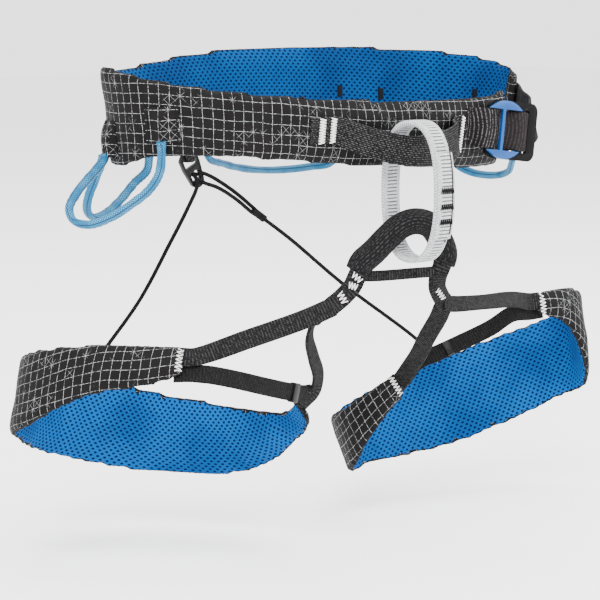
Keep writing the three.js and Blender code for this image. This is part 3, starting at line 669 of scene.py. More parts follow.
def around(angles, values, angle):
    """A smooth closed curve of values over angle."""
    count = len(angles)
    turned = angle - 360 * floor((angle - angles[0]) / 360)

    def angle_at(i):
        return angles[i % count] + 360 * (i // count)

    def slope_at(i):
        return (values[(i + 1) % count] - values[(i - 1) % count]) / (angle_at(i + 1) - angle_at(i - 1))

    i = 0
    while angle_at(i + 1) <= turned:
        i += 1
    span = angle_at(i + 1) - angle_at(i)
    t = (turned - angle_at(i)) / span
    first = (1 + 2 * t) * (1 - t) ** 2 * values[i % count] + t * (1 - t) ** 2 * span * slope_at(i)
    second = t**2 * (3 - 2 * t) * values[(i + 1) % count] + t**2 * (t - 1) * span * slope_at(i + 1)
    return first + second


def waist_edge(angle, lower):
    power = 2 / WAIST["roundness"]
    flare = 0 if lower else WAIST["flare"]
    a = radians(angle)
    wide, deep = [half + flare for half in WAIST["half"]]
    height = around(WAIST["angles"], WAIST["bottom" if lower else "top"], angle)
    return np.array([wide * signed_power(sin(a), power), -deep * signed_power(cos(a), power), height])


def leg_edge(leg, angle, lower):
    power = 2 / leg["roundness"]
    a = radians(angle)
    (wide, deep), cone, saddle = leg["half"], leg["cone"], leg["saddle"]
    point = np.array([wide * signed_power(cos(a), power), deep * signed_power(sin(a), power), 0.0])
    lean = radians(cone[0] + cone[1] * cos(a) + cone[2] * sin(a))
    outward = unit(point)
    point[2] = saddle[0] * cos(2 * a) + saddle[1] * sin(2 * a)
    if lower:
        width = around(WIDTH_ANGLES, leg["widths"], angle)
        point = point + outward * width * sin(lean)
        point[2] -= width * cos(lean)
    x, y, z = [radians(v) for v in leg["turn"]]
    turn = Matrix.Rotation(z, 3, "Z") @ Matrix.Rotation(y, 3, "Y") @ Matrix.Rotation(x, 3, "X")
    return np.array(turn) @ point + np.array(leg["centre"])


class Band:
    """A padded band's stations, with the distance along its middle."""

    def __init__(self, edge, start, end):
        self.edge = edge
        stations = [self.station(a) for a in np.linspace(start, end, LOOP_STEPS)]
        self.origin, self.across, self.normal, self.half = [np.array(v) for v in zip(*stations)]
        self.along = np.cross(self.across, self.normal)
        self.length = distances(self.origin)

    def station(self, angle):
        upper, lower = self.edge(angle, False), self.edge(angle, True)
        across = upper - lower
        half = np.linalg.norm(across) / 2
        across = across / (2 * half)
        ahead = (self.edge(angle + 1, False) + self.edge(angle + 1, True)) / 2
        behind = (self.edge(angle - 1, False) + self.edge(angle - 1, True)) / 2
        return (upper + lower) / 2, across, unit(np.cross(ahead - behind, across)), half

    def at(self, angle, share, out, past=0.0):
        """A point on the band: share from -1 at its lower edge to 1 at its upper edge, `past` along it."""
        origin, across, normal, half = self.station(angle)
        return origin + across * half * share + normal * out + np.cross(across, normal) * past

    def facing(self, angle):
        return self.station(angle)[2]


waist = Band(waist_edge, WAIST["start"], WAIST["end"])
right_leg = Band(lambda a, low: leg_edge(RIGHT_LEG, a, low), RIGHT_LEG["start"], RIGHT_LEG["end"])
left_leg = Band(lambda a, low: leg_edge(LEFT_LEG, a, low), LEFT_LEG["start"], LEFT_LEG["end"])


def pad_section(half, outer, inner, points=9):
    """A flat pad's section with rounded edges, as (across, out)."""
    middle, radius = (outer + inner) / 2, (outer - inner) / 2
    flat = half - radius - 0.4
    top = [(x, outer) for x in np.linspace(-flat, flat, points)]
    nose = [(flat + radius * sin(a), middle + radius * cos(a)) for a in (0.7, 1.57, 2.44)]
    base = [(x, inner) for x in np.linspace(flat, -flat, points)]
    tail = [(-x, y) for x, y in nose[::-1]]
    return top + nose + base + tail


CLOTH_FRAMES = 20
CLOTH_SETTINGS = {
    "quality": 4, "use_pressure": True, "uniform_pressure_force": 4, "tension_stiffness": 12,
    "compression_stiffness": 12, "bending_stiffness": 0.4,
}


def swell(obj, cap_mm, weights):
    """Inflates the pad with a short cloth run. A point moves no further than its share of the cap."""
    scene = bpy.context.scene
    rest = vertices_of(obj)
    cloth = obj.modifiers.new("cloth", "CLOTH")
    for setting, value in CLOTH_SETTINGS.items():
        setattr(cloth.settings, setting, value)
    cloth.settings.effector_weights.gravity = 0
    cloth.collision_settings.use_collision = False
    for number in range(1, CLOTH_FRAMES + 1):
        scene.frame_set(number)
    moved = obj.evaluated_get(bpy.context.evaluated_depsgraph_get())
    shift = vertices_of(moved) - rest
    obj.modifiers.clear()
    scene.frame_set(1)
    far = np.linalg.norm(shift, axis=1, keepdims=True)
    allowed = cap_mm * MM * weights[:, None]
    shift *= allowed * np.tanh(far / np.maximum(allowed, 1e-9)) / np.maximum(far, 1e-9)
    obj.data.vertices.foreach_set("co", (rest + shift).ravel())


def locate(band, points):
    """For points: distance along the band, across it, out of its middle, half its width, and its station."""
    shares = (-0.75, -0.4, 0, 0.4, 0.75)
    grid = KDTree(len(band.origin) * len(shares))
    for i in range(len(band.origin)):
        for share in shares:
            grid.insert(band.origin[i] + band.across[i] * band.half[i] * share, i)
    grid.balance()
    guess = np.array([grid.find(p)[1] for p in points])
    index, best = guess, np.full(len(points), np.inf)
    for shift in range(-12, 13):
        near = np.clip(guess + shift, 0, len(band.origin) - 1)
        gap = np.abs(dots(points - band.origin[near], band.along[near])) + 0.002 * abs(shift)
        index, best = np.where(gap < best, near, index), np.minimum(gap, best)
    offset = points - band.origin[index]
    along = band.length[index] + dots(offset, band.along[index])
    across, out = dots(offset, band.across[index]), dots(offset, band.normal[index])
    return along, across, out, band.half[index], index


def ripple(along, across, half, seed):
    """Puckers that run in from both edges, and soft folds over the whole face, in millimetres."""
    random = np.random.default_rng(seed)
    phase = random.uniform(0, 2 * pi, 12)
    edge = np.clip(1 - (half - np.abs(across)) / 16, 0, 1) ** 1.5
    wander = 1.5 * np.sin(along / 17 + phase[0]) + 0.9 * np.sin(along / 7.3 + phase[1])
    pucker = np.sin((along + wander * 1.4 + across * 0.12) / 2.1 + phase[2])
    pucker *= 0.6 + 0.4 * np.sin(along / 23 + phase[3])
    fold = np.sin(along / 15 + across / 11 + phase[4]) * np.sin(along / 37 - across / 23 + phase[5])
    slant = np.maximum(0, np.sin(along / 9.5 - across / 7.5 + phase[6] + np.sin(along / 31))) ** 3
    return 0.26 * edge * pucker + 0.55 * (1 - edge) * fold + 0.5 * (1 - edge) * slant


EDGE_OUT = -0.6
PAD_IN = -3.2
PAD_OUT, PAD_BACK = 3.3, -2.9
RIM_MM = 5
VOXEL_MM = 4
SWELL_CAP_MM = 3.4


def part_of(mesh_points, faces, wanted, uv_of, name, material):
    """The chosen faces as an object of their own."""
    used = sorted({i for face in wanted for i in faces[face]})
    index = {old: new for new, old in enumerate(used)}
    kept = [tuple(index[i] for i in faces[face]) for face in wanted]
    uvs = [uv_of[i] for face in wanted for i in faces[face]]
    return new_object(name, mesh_points[used], kept, material, uvs)


def padded_band(prefix, band, body, seed, hem=-1.0, cloth="lining"):
    """A band's cover, lining and edge. The lining starts at `hem` along the band."""
    rings = rings_along(band, [pad_section(half, PAD_OUT, PAD_BACK) for half in band.half])
    steps = slice(0, LOOP_STEPS, 3)
    pad = loft(prefix + "_pad", rings[steps], band.length[steps], [0] * (rings.shape[1] + 1), "shell")
    remesh = pad.modifiers.new("remesh", "REMESH")
    remesh.mode = "VOXEL"
    remesh.voxel_size = VOXEL_MM * MM
    apply_modifiers(pad)
    points = vertices_of(pad) / MM
    along, across, out, half, _ = locate(band, points)
    total = band.length[-1]
    rim = np.minimum(half - np.abs(across), np.minimum(along, total - along))
    weights = np.clip((rim - 2) / 12, 0.06, 1)
    swell(pad, SWELL_CAP_MM, weights)
    smooth = pad.modifiers.new("subdivision", "SUBSURF")
    smooth.levels = 1
    apply_modifiers(pad)
    points = vertices_of(pad) / MM
    along, across, out, half, index = locate(band, points)
    outside = out > 0
    lift = ripple(along, across, half, seed)
    lift[~outside] = 0.25 * np.sin(along[~outside] / 13) * np.sin(across[~outside] / 11)
    points += band.normal[index] * (lift * np.where(outside, 1, -1))[:, None]
    faces = [tuple(p.vertices) for p in pad.data.polygons]
    inside = (out < EDGE_OUT) & (along > hem)
    lining_faces = [i for i, f in enumerate(faces) if all(inside[v] for v in f)]
    chosen = set(lining_faces)
    shell_faces = [i for i in range(len(faces)) if i not in chosen]
    wrap = PAD_OUT - np.minimum(out, PAD_OUT)
    rim_share = np.clip(1 - (half - np.abs(across)) / RIM_MM, 0, 1)
    end_share = np.clip(1 - along / RIM_MM, 0, 1) - np.clip(1 - (total - along) / RIM_MM, 0, 1)
    around_u = along - wrap * end_share
    around_v = across + wrap * rim_share * np.sign(across)
    shell_uv = np.stack([around_u, around_v], axis=1)
    shell = part_of(points, faces, shell_faces, shell_uv, prefix + "_outer_cover", "shell")
    lining_uv = np.stack([along, across], axis=1)
    lining = part_of(points, faces, lining_faces, lining_uv, prefix + "_spacer_lining", cloth)
    bpy.data.objects.remove(pad)
    GROUND[prefix] = BVHTree.FromPolygons([Vector(p) for p in points], faces)
    settle(shell, body, "shell", prefix + "_outer_shell", prefix + "_foam_core")
    settle(lining, body, cloth, prefix + "_mesh_lining")
    binding(prefix, band, body, hem)


BINDING_STEP = 1.3


def binding(prefix, band, body, hem):
    """The overlocked edge that shows all round the lining, with a scalloped border."""
    beyond = 1.0
    edge = band.origin + band.normal * EDGE_OUT
    low = edge - band.across * (band.half + beyond)[:, None]
    high = edge + band.across * (band.half + beyond)[:, None]
    shares = np.linspace(-1, 1, 24)[1:-1]
    depth = PAD_IN if hem > 0 else EDGE_OUT
    first = [band.origin[0] + band.across[0] * band.half[0] * s + band.along[0] * hem
        + band.normal[0] * depth for s in shares]
    last = [edge[-1] + band.across[-1] * band.half[-1] * s + band.along[-1] * beyond for s in shares]
    trim = slice(max(1, int(hem / 2)), -1)
    route = np.vstack([high[trim], last[::-1], low[trim][::-1], first])
    closed = np.vstack([route, route[:1]])
    length = distances(closed)
    count = int(length[-1] / BINDING_STEP)
    s = np.linspace(0, length[-1], count, endpoint=False)
    origin = np.stack([np.interp(s, length, closed[:, i]) for i in range(3)], axis=1)
    ahead = unit(np.roll(origin, -2, axis=0) - np.roll(origin, 2, axis=0))
    scallop = 0.5 * np.abs(np.sin(s * pi / 4.2))
    rings = []
    for i in range(count):
        found, face_normal, _, _ = GROUND[prefix].find_nearest(Vector(origin[i]))
        seat, up = np.array(found), np.array(face_normal)
        up = unit(up - ahead[i] * (up @ ahead[i]))
        side = unit(np.cross(ahead[i], -up))
        reach = 0.75 + 0.6 * scallop[i]
        section = [(-0.8, -0.4), (-0.7, 0.15), (0, 0.35), (reach - 0.2, 0.2), (reach, -0.2), (0, -0.7)]
        rings.append([seat + side * x + up * y for x, y in section])
    obj = loft(prefix + "_overlock_edge", rings, list(s) + [length[-1]], [0, 1, 2, 3, 4, 5, 6], "binding",
        closed=True)
    settle(obj, body, "binding")


# The waist belt's lining is the darkened copy, as painted shade.
padded_band("waist", waist, "waist_belt", SEED, hem=8.0, cloth="lining_painted_shade")
padded_band("right_leg", right_leg, "right_leg", SEED + 1)
padded_band("left_leg", left_leg, "left_leg", SEED + 2)


# ---- Waist tie-in webbing, belay loop and leg tie-in ----


def on_belt(angle, height, out):
    origin, across, normal, half = waist.station(angle)
    return origin + across * ((height - origin[2]) / across[2]) + normal * out


TIE_IN_BULGE = [(-40, -91, -12), (-24, -101.5, -17.5), (-7, -108, -21), (14, -106.5, -21.5),
    (38, -98, -21.5), (60, -88, -17)]
TIE_IN_OUT = 6.2
tie_left = [on_belt(a, -4, TIE_IN_OUT) for a in (-21.5, -17.5, -14.5)]
tie_right = [on_belt(a, -13, TIE_IN_OUT) for a in (17.6, 19.8)]
tie_facing = ([waist.facing(a) for a in (-21.5, -17.5, -14.5)] + [(0, -1, 0)] * 5
    + [waist.facing(17.6), waist.facing(17.6), waist.facing(19.8)])
ribbon("waist_tie_in_strap", "waist_belt", "tie_in", tie_left + TIE_IN_BULGE + tie_right, tie_facing, 19,
    2.6, steps=90, replaced=["waist_tie_in_webbing"], widths=[19, 19, 20, 21.5, 22, 22, 24, 26, 27, 29, 30])
TIE_IN_THREAD = 0.55
tack("tie_in_tack_outer", strokes=9, radius=TIE_IN_THREAD)
tack("tie_in_tack_inner", strokes=9, radius=TIE_IN_THREAD)
tack("tie_in_tack_buckle_side", strokes=13, grow=1.55, radius=TIE_IN_THREAD)

BELAY = {"centre": (-7, -114, -49.8), "half": (27.5, 50), "roundness": 2.4, "width": 16.5}


def belay_frame(angle):
    """The belay loop's middle line, its direction across and its outward normal."""
    power = 2 / BELAY["roundness"]
    (x, y, z), (deep, tall) = BELAY["centre"], BELAY["half"]

    def at(a):
        back, up = [signed_power(turn(radians(a)), power) for turn in (sin, cos)]
        return np.array([x, y - deep * back, z - tall * up])

    along = unit(at(angle + 0.5) - at(angle - 0.5))
    return at(angle), np.array([1.0, 0, 0]), np.cross((1.0, 0, 0), along)


def belay_strip(name, first, last, steps, out, thickness, closed=False):
    frames = [belay_frame(a) for a in np.linspace(first, last, steps, endpoint=not closed)]
    section = strap_section(BELAY["width"], thickness, crown=0.06)
    rings = [[o + x * a + (y + out) * n for x, y in section] for o, a, n in frames]
    length = distances(np.array([f[0] for f in frames]))
    u = list(length) + ([length[-1] + length[1]] if closed else [])
    return loft(name, rings, u, across_of(section), "belay", closed=closed)


BELAY_TAIL, BELAY_EDGE = (55, 121), (50, 124)
belay_ring = belay_strip("belay_loop_ring", 0, 360, 120, 0, 3.4, closed=True)
settle(belay_ring, "belay_loop", "belay", "belay_loop")
overlap = belay_strip("belay_loop_overlap", *BELAY_TAIL, 36, 2.9, 2.2)
settle(overlap, "belay_loop", "belay", "belay_loop_tail")
for number in (1, 2, 3):
    tack(f"belay_tack_{number}", strokes=6, material="darkThread", outward=(0, -1, 0), grow=1.25)

edge_line = []
for turn in np.linspace(*BELAY_EDGE, 14):
    origin, sideways, outward = belay_frame(turn)
    edge_line.append(origin + sideways * 5.4 + outward * (4.3 if turn > 56 else 2.2))
tube("belay_edge_stitching", "belay_loop", "darkThread", edge_line, 0.45, 40, 6)

FRONT = (-0.45, -0.85, 0.1)
RISER = (14, 2.6)
RISER_TACK_OUT = 1.35
SLEEVE = [(-49, -95, -107), (-45, -96, -101), (-34, -98, -93), (-23, -101, -83), (-13, -103, -76),
    (1, -104, -73), (16, -105, -77), (26, -106, -89), (31, -106, -101), (30, -105.5, -108)]


def leg_tie_in():
    """The padded sleeve that arches over the belay loop's seat, thinner at both ends."""
    path = Path(SLEEVE, [FRONT], 80)
    angles = turns(28)
    shares = np.clip(np.minimum(path.length, path.length[-1] - path.length) / 10, 0, 1)
    rings = []
    for i, share in enumerate(shares):
        width = 8.4 + 1.3 * share
        height = 2.6 + 2.8 * share + 0.25 * sin(path.length[i] / 3.1)
        rings.append([path.origin[i] + path.across[i] * width * signed_power(cos(a), 0.75)
            + path.normal[i] * height * signed_power(sin(a), 0.85) for a in angles])
    v = np.linspace(0, 46, len(angles) + 1)
    obj = loft("leg_tie_in_cover", rings, path.length, v, "sleeve")
    settle(obj, "leg_suspension", "sleeve", "leg_tie_in_sleeve")


leg_tie_in()

right_riser = ribbon("right_riser_strap", "leg_suspension", "webbing",
    [(-46, -97, -104), (-50, -96.5, -111), (-53, -95.5, -117), (-60, -93, -124.5), (-69, -90.5, -131)],
    [FRONT], *RISER, 40, ["right_riser"])
left_riser = ribbon("left_riser_strap", "leg_suspension", "webbing", [(29, -107, -104), (26, -106, -111),
    (26.5, -103, -117), (30, -99, -125), (37, -96, -133), (45, -93.5, -139.5)], [FRONT], *RISER, 40,
    ["left_riser"])
ribbon("cross_webbing", "leg_suspension", "webbing", [(-44, -95.5, -110.5), (-30, -96.5, -111.5),
    (-11, -98, -112), (8, -101, -112), (22, -104.5, -112)], [FRONT], 8, 2, 30, ["cross_strap"])


def riser_tack(name, path, station, strokes, width, length, slant, replaced=()):
    """Stitches across a riser at one of its stations."""
    across = path.across[station] * cos(slant) + path.along[station] * sin(slant)
    along = path.along[station] * cos(slant) - path.across[station] * sin(slant)
    normal = path.normal[station]
    normal = normal if normal[1] < 0 else -normal
    centre = path.origin[station] + normal * RISER_TACK_OUT
    zigzag(name, "leg_suspension", "thread", centre, across * width, along * length, normal, strokes,
        replaced=replaced)


riser_tack("right_riser_stitches_1", right_riser, 10, 3, 4.0, 2.2, 0.25, ["right_riser_tack_1"])
riser_tack("right_riser_stitches_2", right_riser, 20, 3, 3.2, 2.4, -0.3)
riser_tack("right_riser_stitches_3", right_riser, 31, 3, 4.2, 2.6, 0.2, ["right_riser_tack_2"])
riser_tack("left_riser_stitches", left_riser, 29, 4, 6.5, 1.9, 1.45, ["left_riser_tack_1"])


# ---- Leg loops' webbing ----

SEAM_DEPTH = 0.4
LEG_STRAP, ELASTIC = (14, 2.2), (13, 1.5)
RIGHT_START, RIGHT_END = RIGHT_LEG["start"], RIGHT_LEG["end"]
LEFT_START, LEFT_END = LEFT_LEG["start"], LEFT_LEG["end"]
ribbon("right_front_strap", "right_leg", "webbing", [(-68.5, -92, -130.8), (-80, -88.8, -135),
    (-94, -85, -139.5), (-130, -72, -150), right_leg.at(RIGHT_END, 0.3, 0.6, 5),
    right_leg.at(RIGHT_END - 3, 0.3, SEAM_DEPTH), right_leg.at(RIGHT_END - 6, 0.3, SEAM_DEPTH)],
    [(-0.5, -0.8, 0.2)] * 3 + [(-0.5, -0.8, 0.25)] + [right_leg.facing(RIGHT_END - back)
    for back in (0, 4, 8)], *LEG_STRAP, 70, ["right_front_arm"])
ribbon("right_inner_strap", "right_leg", "webbing", [(-73, -84, -138), (-79, -82, -144), (-79, -78, -154),
    (-69, -71, -170), (-58, -64, -186), (-56, -59, -197), (-61, -57, -204)]
    + [right_leg.at(RIGHT_START, 0.15, 0.5, 1.0)], [(0.5, -0.8, 0), (0.5, -0.8, 0), (0.4, -0.9, 0),
    (0.2, -1, 0), (0.1, -1, 0), (0.1, -1, 0), (0.3, -0.95, 0.2), (0.45, -0.85, 0.3)], 12, 2.2, 70,
    ["right_inner_arm"])
ribbon("right_elastic_band", "right_leg", "elastic", [right_leg.at(RIGHT_END - 5, -0.55, -3.4),
    right_leg.at(RIGHT_END, -0.7, -3, 3), (-162, -62.5, -173.5), (-144, -68, -178), (-114, -70, -187),
    (-86, -66, -195), (-70, -60.5, -199), (-60, -57, -200)], [right_leg.facing(RIGHT_END)] * 2
    + [(-0.4, -0.9, 0.1), (-0.3, -0.95, 0), (-0.2, -0.98, 0), (0, -1, 0), (0.2, -1, 0), (0.25, -1, 0)],
    *ELASTIC, 70, ["right_elastic_strap"])
ribbon("left_outer_strap", "left_leg", "webbing", [(41, -94.5, -137), (50, -92, -140), (94, -84, -144),
    (142, -70, -148), left_leg.at(LEFT_START, 0.4, 1.0, -5), left_leg.at(LEFT_START, 0.38, 1.2, 0),
    left_leg.at(LEFT_START + 2, 0.35, 1.4)], [(-0.3, -0.8, 0.4), (-0.3, -0.8, 0.5), (0, -0.7, 0.7),
    (0, -0.8, 0.5)] + [left_leg.facing(LEFT_START + ahead) for ahead in (0, 0, 2)], *LEG_STRAP, 80,
    ["left_outer_arm"])
ribbon("left_inner_strap", "left_leg", "webbing", [(44, -90.5, -143), (48, -82, -152), (56, -62, -170),
    (65, -44, -186), (72, -26, -201), left_leg.at(LEFT_END - 1, 0.1, SEAM_DEPTH, 0),
    left_leg.at(LEFT_END - 5, 0, SEAM_DEPTH)], [(-0.6, -0.7, 0.4)] * 5 + [left_leg.facing(LEFT_END - back)
    for back in (1, 7)], *LEG_STRAP, 70, ["left_inner_arm"])
ribbon("left_elastic_band", "left_leg", "elastic", [(79, -11, -214), (83.5, -13.5, -207), (88, -18, -199),
    (103, -29, -191), (118, -37, -184), (140, -49, -173), (156, -56, -163),
    left_leg.at(LEFT_START, -0.45, -3.0, -4), left_leg.at(LEFT_START + 5, -0.4, -3.6)],
    [(-0.4, -0.8, 0.4)] * 3 + [(-0.3, -0.8, 0.5)] * 2 + [(-0.2, -0.9, 0.4), (0, -0.95, 0.3)]
    + [left_leg.facing(LEFT_START)] * 2, *ELASTIC, 80, ["left_elastic_strap"])
tack("right_leg_front_tack", strokes=6, outward=(-0.6, -0.6, 0.5), ground="right_leg")
tack("left_leg_outer_tack", strokes=6, outward=(-0.2, -1, 0.2), ground="left_leg")
tack("left_leg_inner_tack", strokes=6, outward=(-0.6, -0.7, 0.2), ground="left_leg")
rounded("right_strap_hook", "clip", 0.35, shrink=0.85)
rounded("left_strap_hook", "clip", 0.35, shrink=0.72)


# ---- Buckle ----

BUCKLE_AT = np.array((112.0, -84.0, -11.7))
BUCKLE_LEAN = radians(7)


def leaning(at, lean, x, y, z):
    """A point given in axes that stand at `at` and lean about Y."""
    turned = (x * cos(lean) + z * sin(lean), y, z * cos(lean) - x * sin(lean))
    return at + np.array(turned)


def on_frame(x, y):
    """A point in the buckle's own axes, at mid height."""
    return leaning(BUCKLE_AT, BUCKLE_LEAN, x, y, 0.0)


rounded("buckle_frame", "frame", 0.9, 3)
rounded("buckle_slider", "anodised", 0.6, 3)
OVER = -2.9  # how far in front of the buckle's middle the strap lies over its bars
ribbon("buckle_adjusting_strap", "waist_belt", "greyWebbing",
    [on_belt(21.6, -8, 5.4), on_belt(22.8, -8, 5.8),
    *[on_frame(x, y) for x, y in ((-20, OVER), (-15, OVER), (-9.5, OVER), (-6, 0.2), (-2, 2.4), (3, 2.6),
    (8, 1.6), (12, -0.6), (15.5, -2.4), (19.5, OVER), (23.3, OVER), (25.8, -2.3), (26.6, 0), (26.6, 2.6))]],
    [(0.15, -1, -0.15)] * 2 + [(0, -1, 0)] * 11 + [(0.6, -0.8, -0.07)] + [(0.99, -0.2, -0.12)] * 2, 30.4,
    1.6, 110, ["buckle_strap"])
ribbon("buckle_anchor_webbing", "waist_belt", "webbing", [on_belt(79, 7, 5.2), on_belt(76, 6, 5.6),
    on_belt(71, 5, 5.6), on_belt(67, 4, 5.8), (167, -55, 0), (160.5, -69, -3), (154.5, -78, -7),
    (148.5, -80.6, -9.5), (144, -81, -11)], [waist.facing(a) for a in (79, 76, 71, 67)]
    + [(0.8, -0.6, 0), (0.6, -0.8, 0), (0.2, -1, 0), (0, -1, 0), (0, -1, 0)], 31, 2.4, 60,
    ["buckle_anchor_strap"])


# ---- Gear loops, tabs and tunnels ----

# Each loop: where it leaves the belt as (angle, height), its route, and where it comes back.
GEAR_LOOPS = {
    "right_front": ((-69, -11), [
        (-181, -35, -31), (-186, -30, -43), (-195, -20, -54), (-207, -9, -64), (-219, -2, -68),
        (-228, 3, -65), (-229, 7, -57), (-219, 11, -46)], (-100, -23)),
    "right_rear": ((-147, -17), [
        (-108, 75, -40), (-119, 77, -50), (-134, 75, -62), (-151, 70, -70), (-165, 66, -72),
        (-175, 60, -67), (-181, 51, -56)], (-114, -24)),
    "left_rear": ((-169, -19), [
        (-40, 86, -35), (-18, 93, -42), (5, 99, -47), (28, 102, -50), (50, 102, -51), (72, 98, -50),
        (92, 88, -46)], (153, -26)),
    "left_front": ((114, -36), [
        (184, 34, -50), (192, 26, -56), (197, 13, -58), (199, 0, -57), (196, -13, -53),
        (189, -23, -46)], (69, -30)),
}
GEAR_OUT = 8.2
GEAR_HALF = (2.6, 3.5)
RIB_DEPTH, RIB_PITCH = 0.16, 1.5


def gear_loop(side, start, route, end):
    """A ribbed tube from the belt, along its route and back."""
    first, last = on_belt(*start, GEAR_OUT), on_belt(*end, GEAR_OUT)
    lead_in, lead_out = [on_belt(angle, height + 2.2, GEAR_OUT + 0.6) for angle, height in (start, end)]
    points = [lead_in, first, *[np.array(p, float) for p in route], last, lead_out]
    middle = points[len(points) // 2]
    facing = unit(np.cross(last - first, middle - first))
    path = Path(points, [facing], 150)
    ribs = RIB_DEPTH * np.sin(path.length * 2 * pi / RIB_PITCH)
    angles = turns(16)
    rings = [[path.origin[i] + path.across[i] * (GEAR_HALF[0] + ribs[i]) * cos(a)
        + path.normal[i] * (GEAR_HALF[1] + ribs[i]) * sin(a) for a in angles] for i in range(len(ribs))]
    obj = loft(f"gear_loop_{side}_tube", rings, path.length, np.linspace(0, 22, 17), "gear")
    settle(obj, f"gear_loop_{side}", "gear", f"gear_loop_{side}")


PATCH_TALL, PATCH_WIDE, FAR_PATCH_WIDE = 13.0, 12.5, 8.5
HUMP_TALL, HUMP_HALF = 5.2, 4.6


def gear_patch(name, angle, height, wide=PATCH_WIDE):
    """The cloth patch that holds a gear loop's end to the belt, with a line of stitches along each side."""
    _, upright, normal, _ = waist.station(angle)
    level = np.cross(upright, normal)
    centre = on_belt(angle, height + PATCH_TALL, SHELL_OUT)

    def spot(x, y, raised):
        hump = HUMP_TALL * exp(-(x / HUMP_HALF) ** 2) * (1 - max(0.0, (y + 4) / (PATCH_TALL + 4)) ** 2)
        return seat_on("waist", centre + level * x + upright * y, normal, hump + raised)

    xs, ys = np.linspace(-wide, wide, 19), np.linspace(-PATCH_TALL, PATCH_TALL, 13)
    rings = [[spot(x, y, 0.9) for y in ys] + [spot(x, y, -0.4) for y in ys[::-1]] for x in xs]
    v = list(ys) + [ys[-1] + 1] + list(ys[::-1] - 1)
    obj = loft(name, rings, xs + wide, v, "shell")
    settle(obj, "waist_belt", "shell")
    for number, x in enumerate((-wide + 1.8, wide - 1.8)):
        line = [spot(x, y, 1.0) for y in np.linspace(-PATCH_TALL + 1, PATCH_TALL - 1, 12)]
        tube(f"{name}_seam_{number}", "waist_belt", "darkThread", line, 0.4, 30, 6)
    return obj


for side, (start, route, end) in GEAR_LOOPS.items():
    gear_loop(side, start, route, end)
    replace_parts(gear_patch(f"gear_patch_{side}", *start), f"gear_tunnel_{side}")
    gear_patch(f"gear_patch_{side}_far", *end, FAR_PATCH_WIDE)
for side in ("right", "left"):
    rounded(f"haul_tab_{side}", "tab", 0.35)
BAR_SHIFT = {"right": (15, 0, 9), "centre": (24, -2, 8), "left": (0, -9, 18)}
for place, shift in BAR_SHIFT.items():
    inward = -box_axes(f"lining_stitch_bar_{place}")[0]
    tack(f"lining_stitch_bar_{place}", strokes=7, material="darkThread", outward=inward, ground="waist",
        shift=shift)


# ---- Rear clip, its loop and the elastic cord ----

CLIP_AT = np.array((-65.0, 81.0, -33.0))
CLIP_LEAN = radians(-26.6)


def in_clip(x, y, z):
    """A point in the clip's own axes."""
    return leaning(CLIP_AT, CLIP_LEAN, x, y, z)


rounded("rear_clip", "clip", 0.8, 3)
HALF_GAP = 3.4
loop_route = [in_clip(0, y, z) for y, z in ((-HALF_GAP, 18), (-HALF_GAP, 6), (-HALF_GAP, -1), (-2.4, -3.7),
    (0, -4.7), (2.4, -3.7), (HALF_GAP, -1), (HALF_GAP, 6), (HALF_GAP, 18))]
ribbon("rear_webbing_loop", "waist_belt", "webbing", loop_route, [(0, -1, 0), (0, -1, 0), (0, -1, -0.2),
    (0, -0.7, -0.7), (0, 0, -1), (0, 0.7, -0.7), (0, 1, -0.2), (0, 1, 0), (0, 1, 0)], 7.2, 1.1, 60,
    ["rear_loop"])
CORD_RADIUS = 1.6
CORD_SIDES = 12


def cord_to_leg(name, points, node):
    """A riser cord from the leg suspension to a leg loop, baked where it lies and on no body."""
    obj = rod(name, "cord", points, CORD_RADIUS, 90, CORD_SIDES)
    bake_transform(obj)
    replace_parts(obj, node)


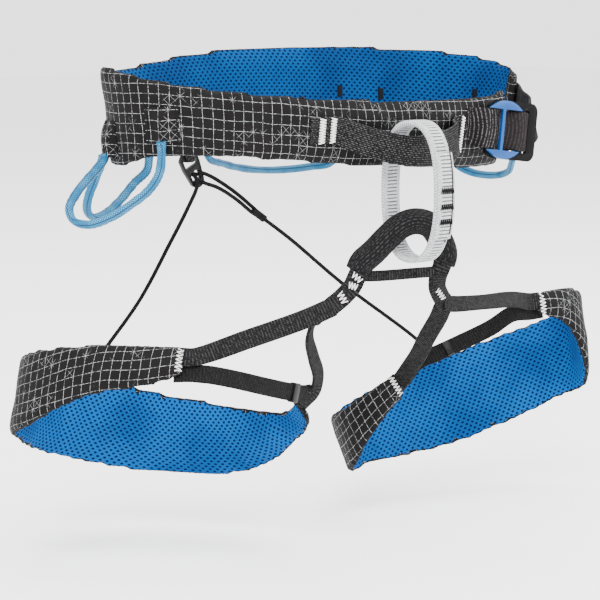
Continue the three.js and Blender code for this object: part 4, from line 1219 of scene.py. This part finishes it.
cord_to_leg("riser_cord_to_right_leg", [in_clip(-1.8, 5, -15), in_clip(-1.8, 0, -15),
    in_clip(-2.4, -3.6, -17), in_clip(-4, -4, -23), (-66, 80, -74), (-75, 90, -100), (-93, 106, -145),
    (-128, 124.5, -200), (-130, 124, -206)], "riser_cord_right")
bend = [in_clip(3.2, -4.2, -16), in_clip(2.4, 0, -17.2), in_clip(2.4, 4.6, -17)]
tube("riser_cord_upper_run", "leg_suspension", "cord", [(3.4, 77.2, -80.6), (0.1, 77.6, -77.8),
    (-20, 78, -63), (-44, 77.5, -49.5), *bend], CORD_RADIUS, 60, CORD_SIDES, ["riser_cord_loop_upper"])
tube("riser_cord_lower_run", "leg_suspension", "cord", [(2, 76.6, -83), (-2.1, 77.5, -80.7),
    (-20, 76.5, -68.5), (-38, 76.5, -58.5), in_clip(1.5, -5.5, -23.5), in_clip(1.4, -4.6, -21.8)],
    CORD_RADIUS, 60, CORD_SIDES, ["riser_cord_loop_lower"])
cord_to_leg("riser_cord_to_left_leg", [(5, 76.2, -84), (8.2, 75.6, -86.2), (32, 71.5, -103.5),
    (84, 65.5, -144), (156, 57, -194), (184, 60.5, -214), (188, 61, -218)], "riser_cord_left")
tube("riser_cord_cover", "leg_suspension", "elastic", [(-1.3, 77.7, -79), (1.2, 77.1, -80.9),
    (3.7, 76.6, -82.7), (6.2, 76, -84.6), (8.6, 75.5, -86.4)], 3.6, 24, 20, ["riser_cord_sleeve"],
    flatness=0.8)


# ---- Floor, world and light ----

FLOOR_Z = -0.33
WORLD_STRENGTH = 2.5


def add_floor():
    s = Shader("studio_white", use_uv=False)
    tone = s.mix(s.noise(900, 1), (0.93, 0.93, 0.93), (0.95, 0.95, 0.95))
    s.finish(tone, 0.7, specular=0.2)
    bpy.ops.mesh.primitive_plane_add(size=14, location=(0, 0, FLOOR_Z))
    plane = bpy.context.object
    plane.name = "studio_floor"
    plane.data.materials.append(s.material)


def add_light(name, location, aim, size, power):
    light = bpy.data.objects.new(name, bpy.data.lights.new(name, "AREA"))
    light.data.energy = power
    light.data.size = size
    light.location = location
    light.rotation_euler = (Vector(aim) - Vector(location)).to_track_quat("-Z", "Y").to_euler()
    bpy.context.scene.collection.objects.link(light)


def add_world():
    world = bpy.data.worlds.new("studio")
    world.use_nodes = True
    world.node_tree.nodes["Background"].inputs["Color"].default_value = (1, 1, 1, 1)
    world.node_tree.nodes["Background"].inputs["Strength"].default_value = WORLD_STRENGTH
    bpy.context.scene.world = world


add_floor()
add_world()
add_light("key", (-1.6, -1.6, 2.0), (0, 0, -0.1), 1.4, 125)
add_light("top", (0.3, 0.2, 2.2), (0, 0, -0.1), 2.0, 90)
add_light("side", (1.8, -1.4, 0.9), (0, 0, -0.15), 1.2, 46)
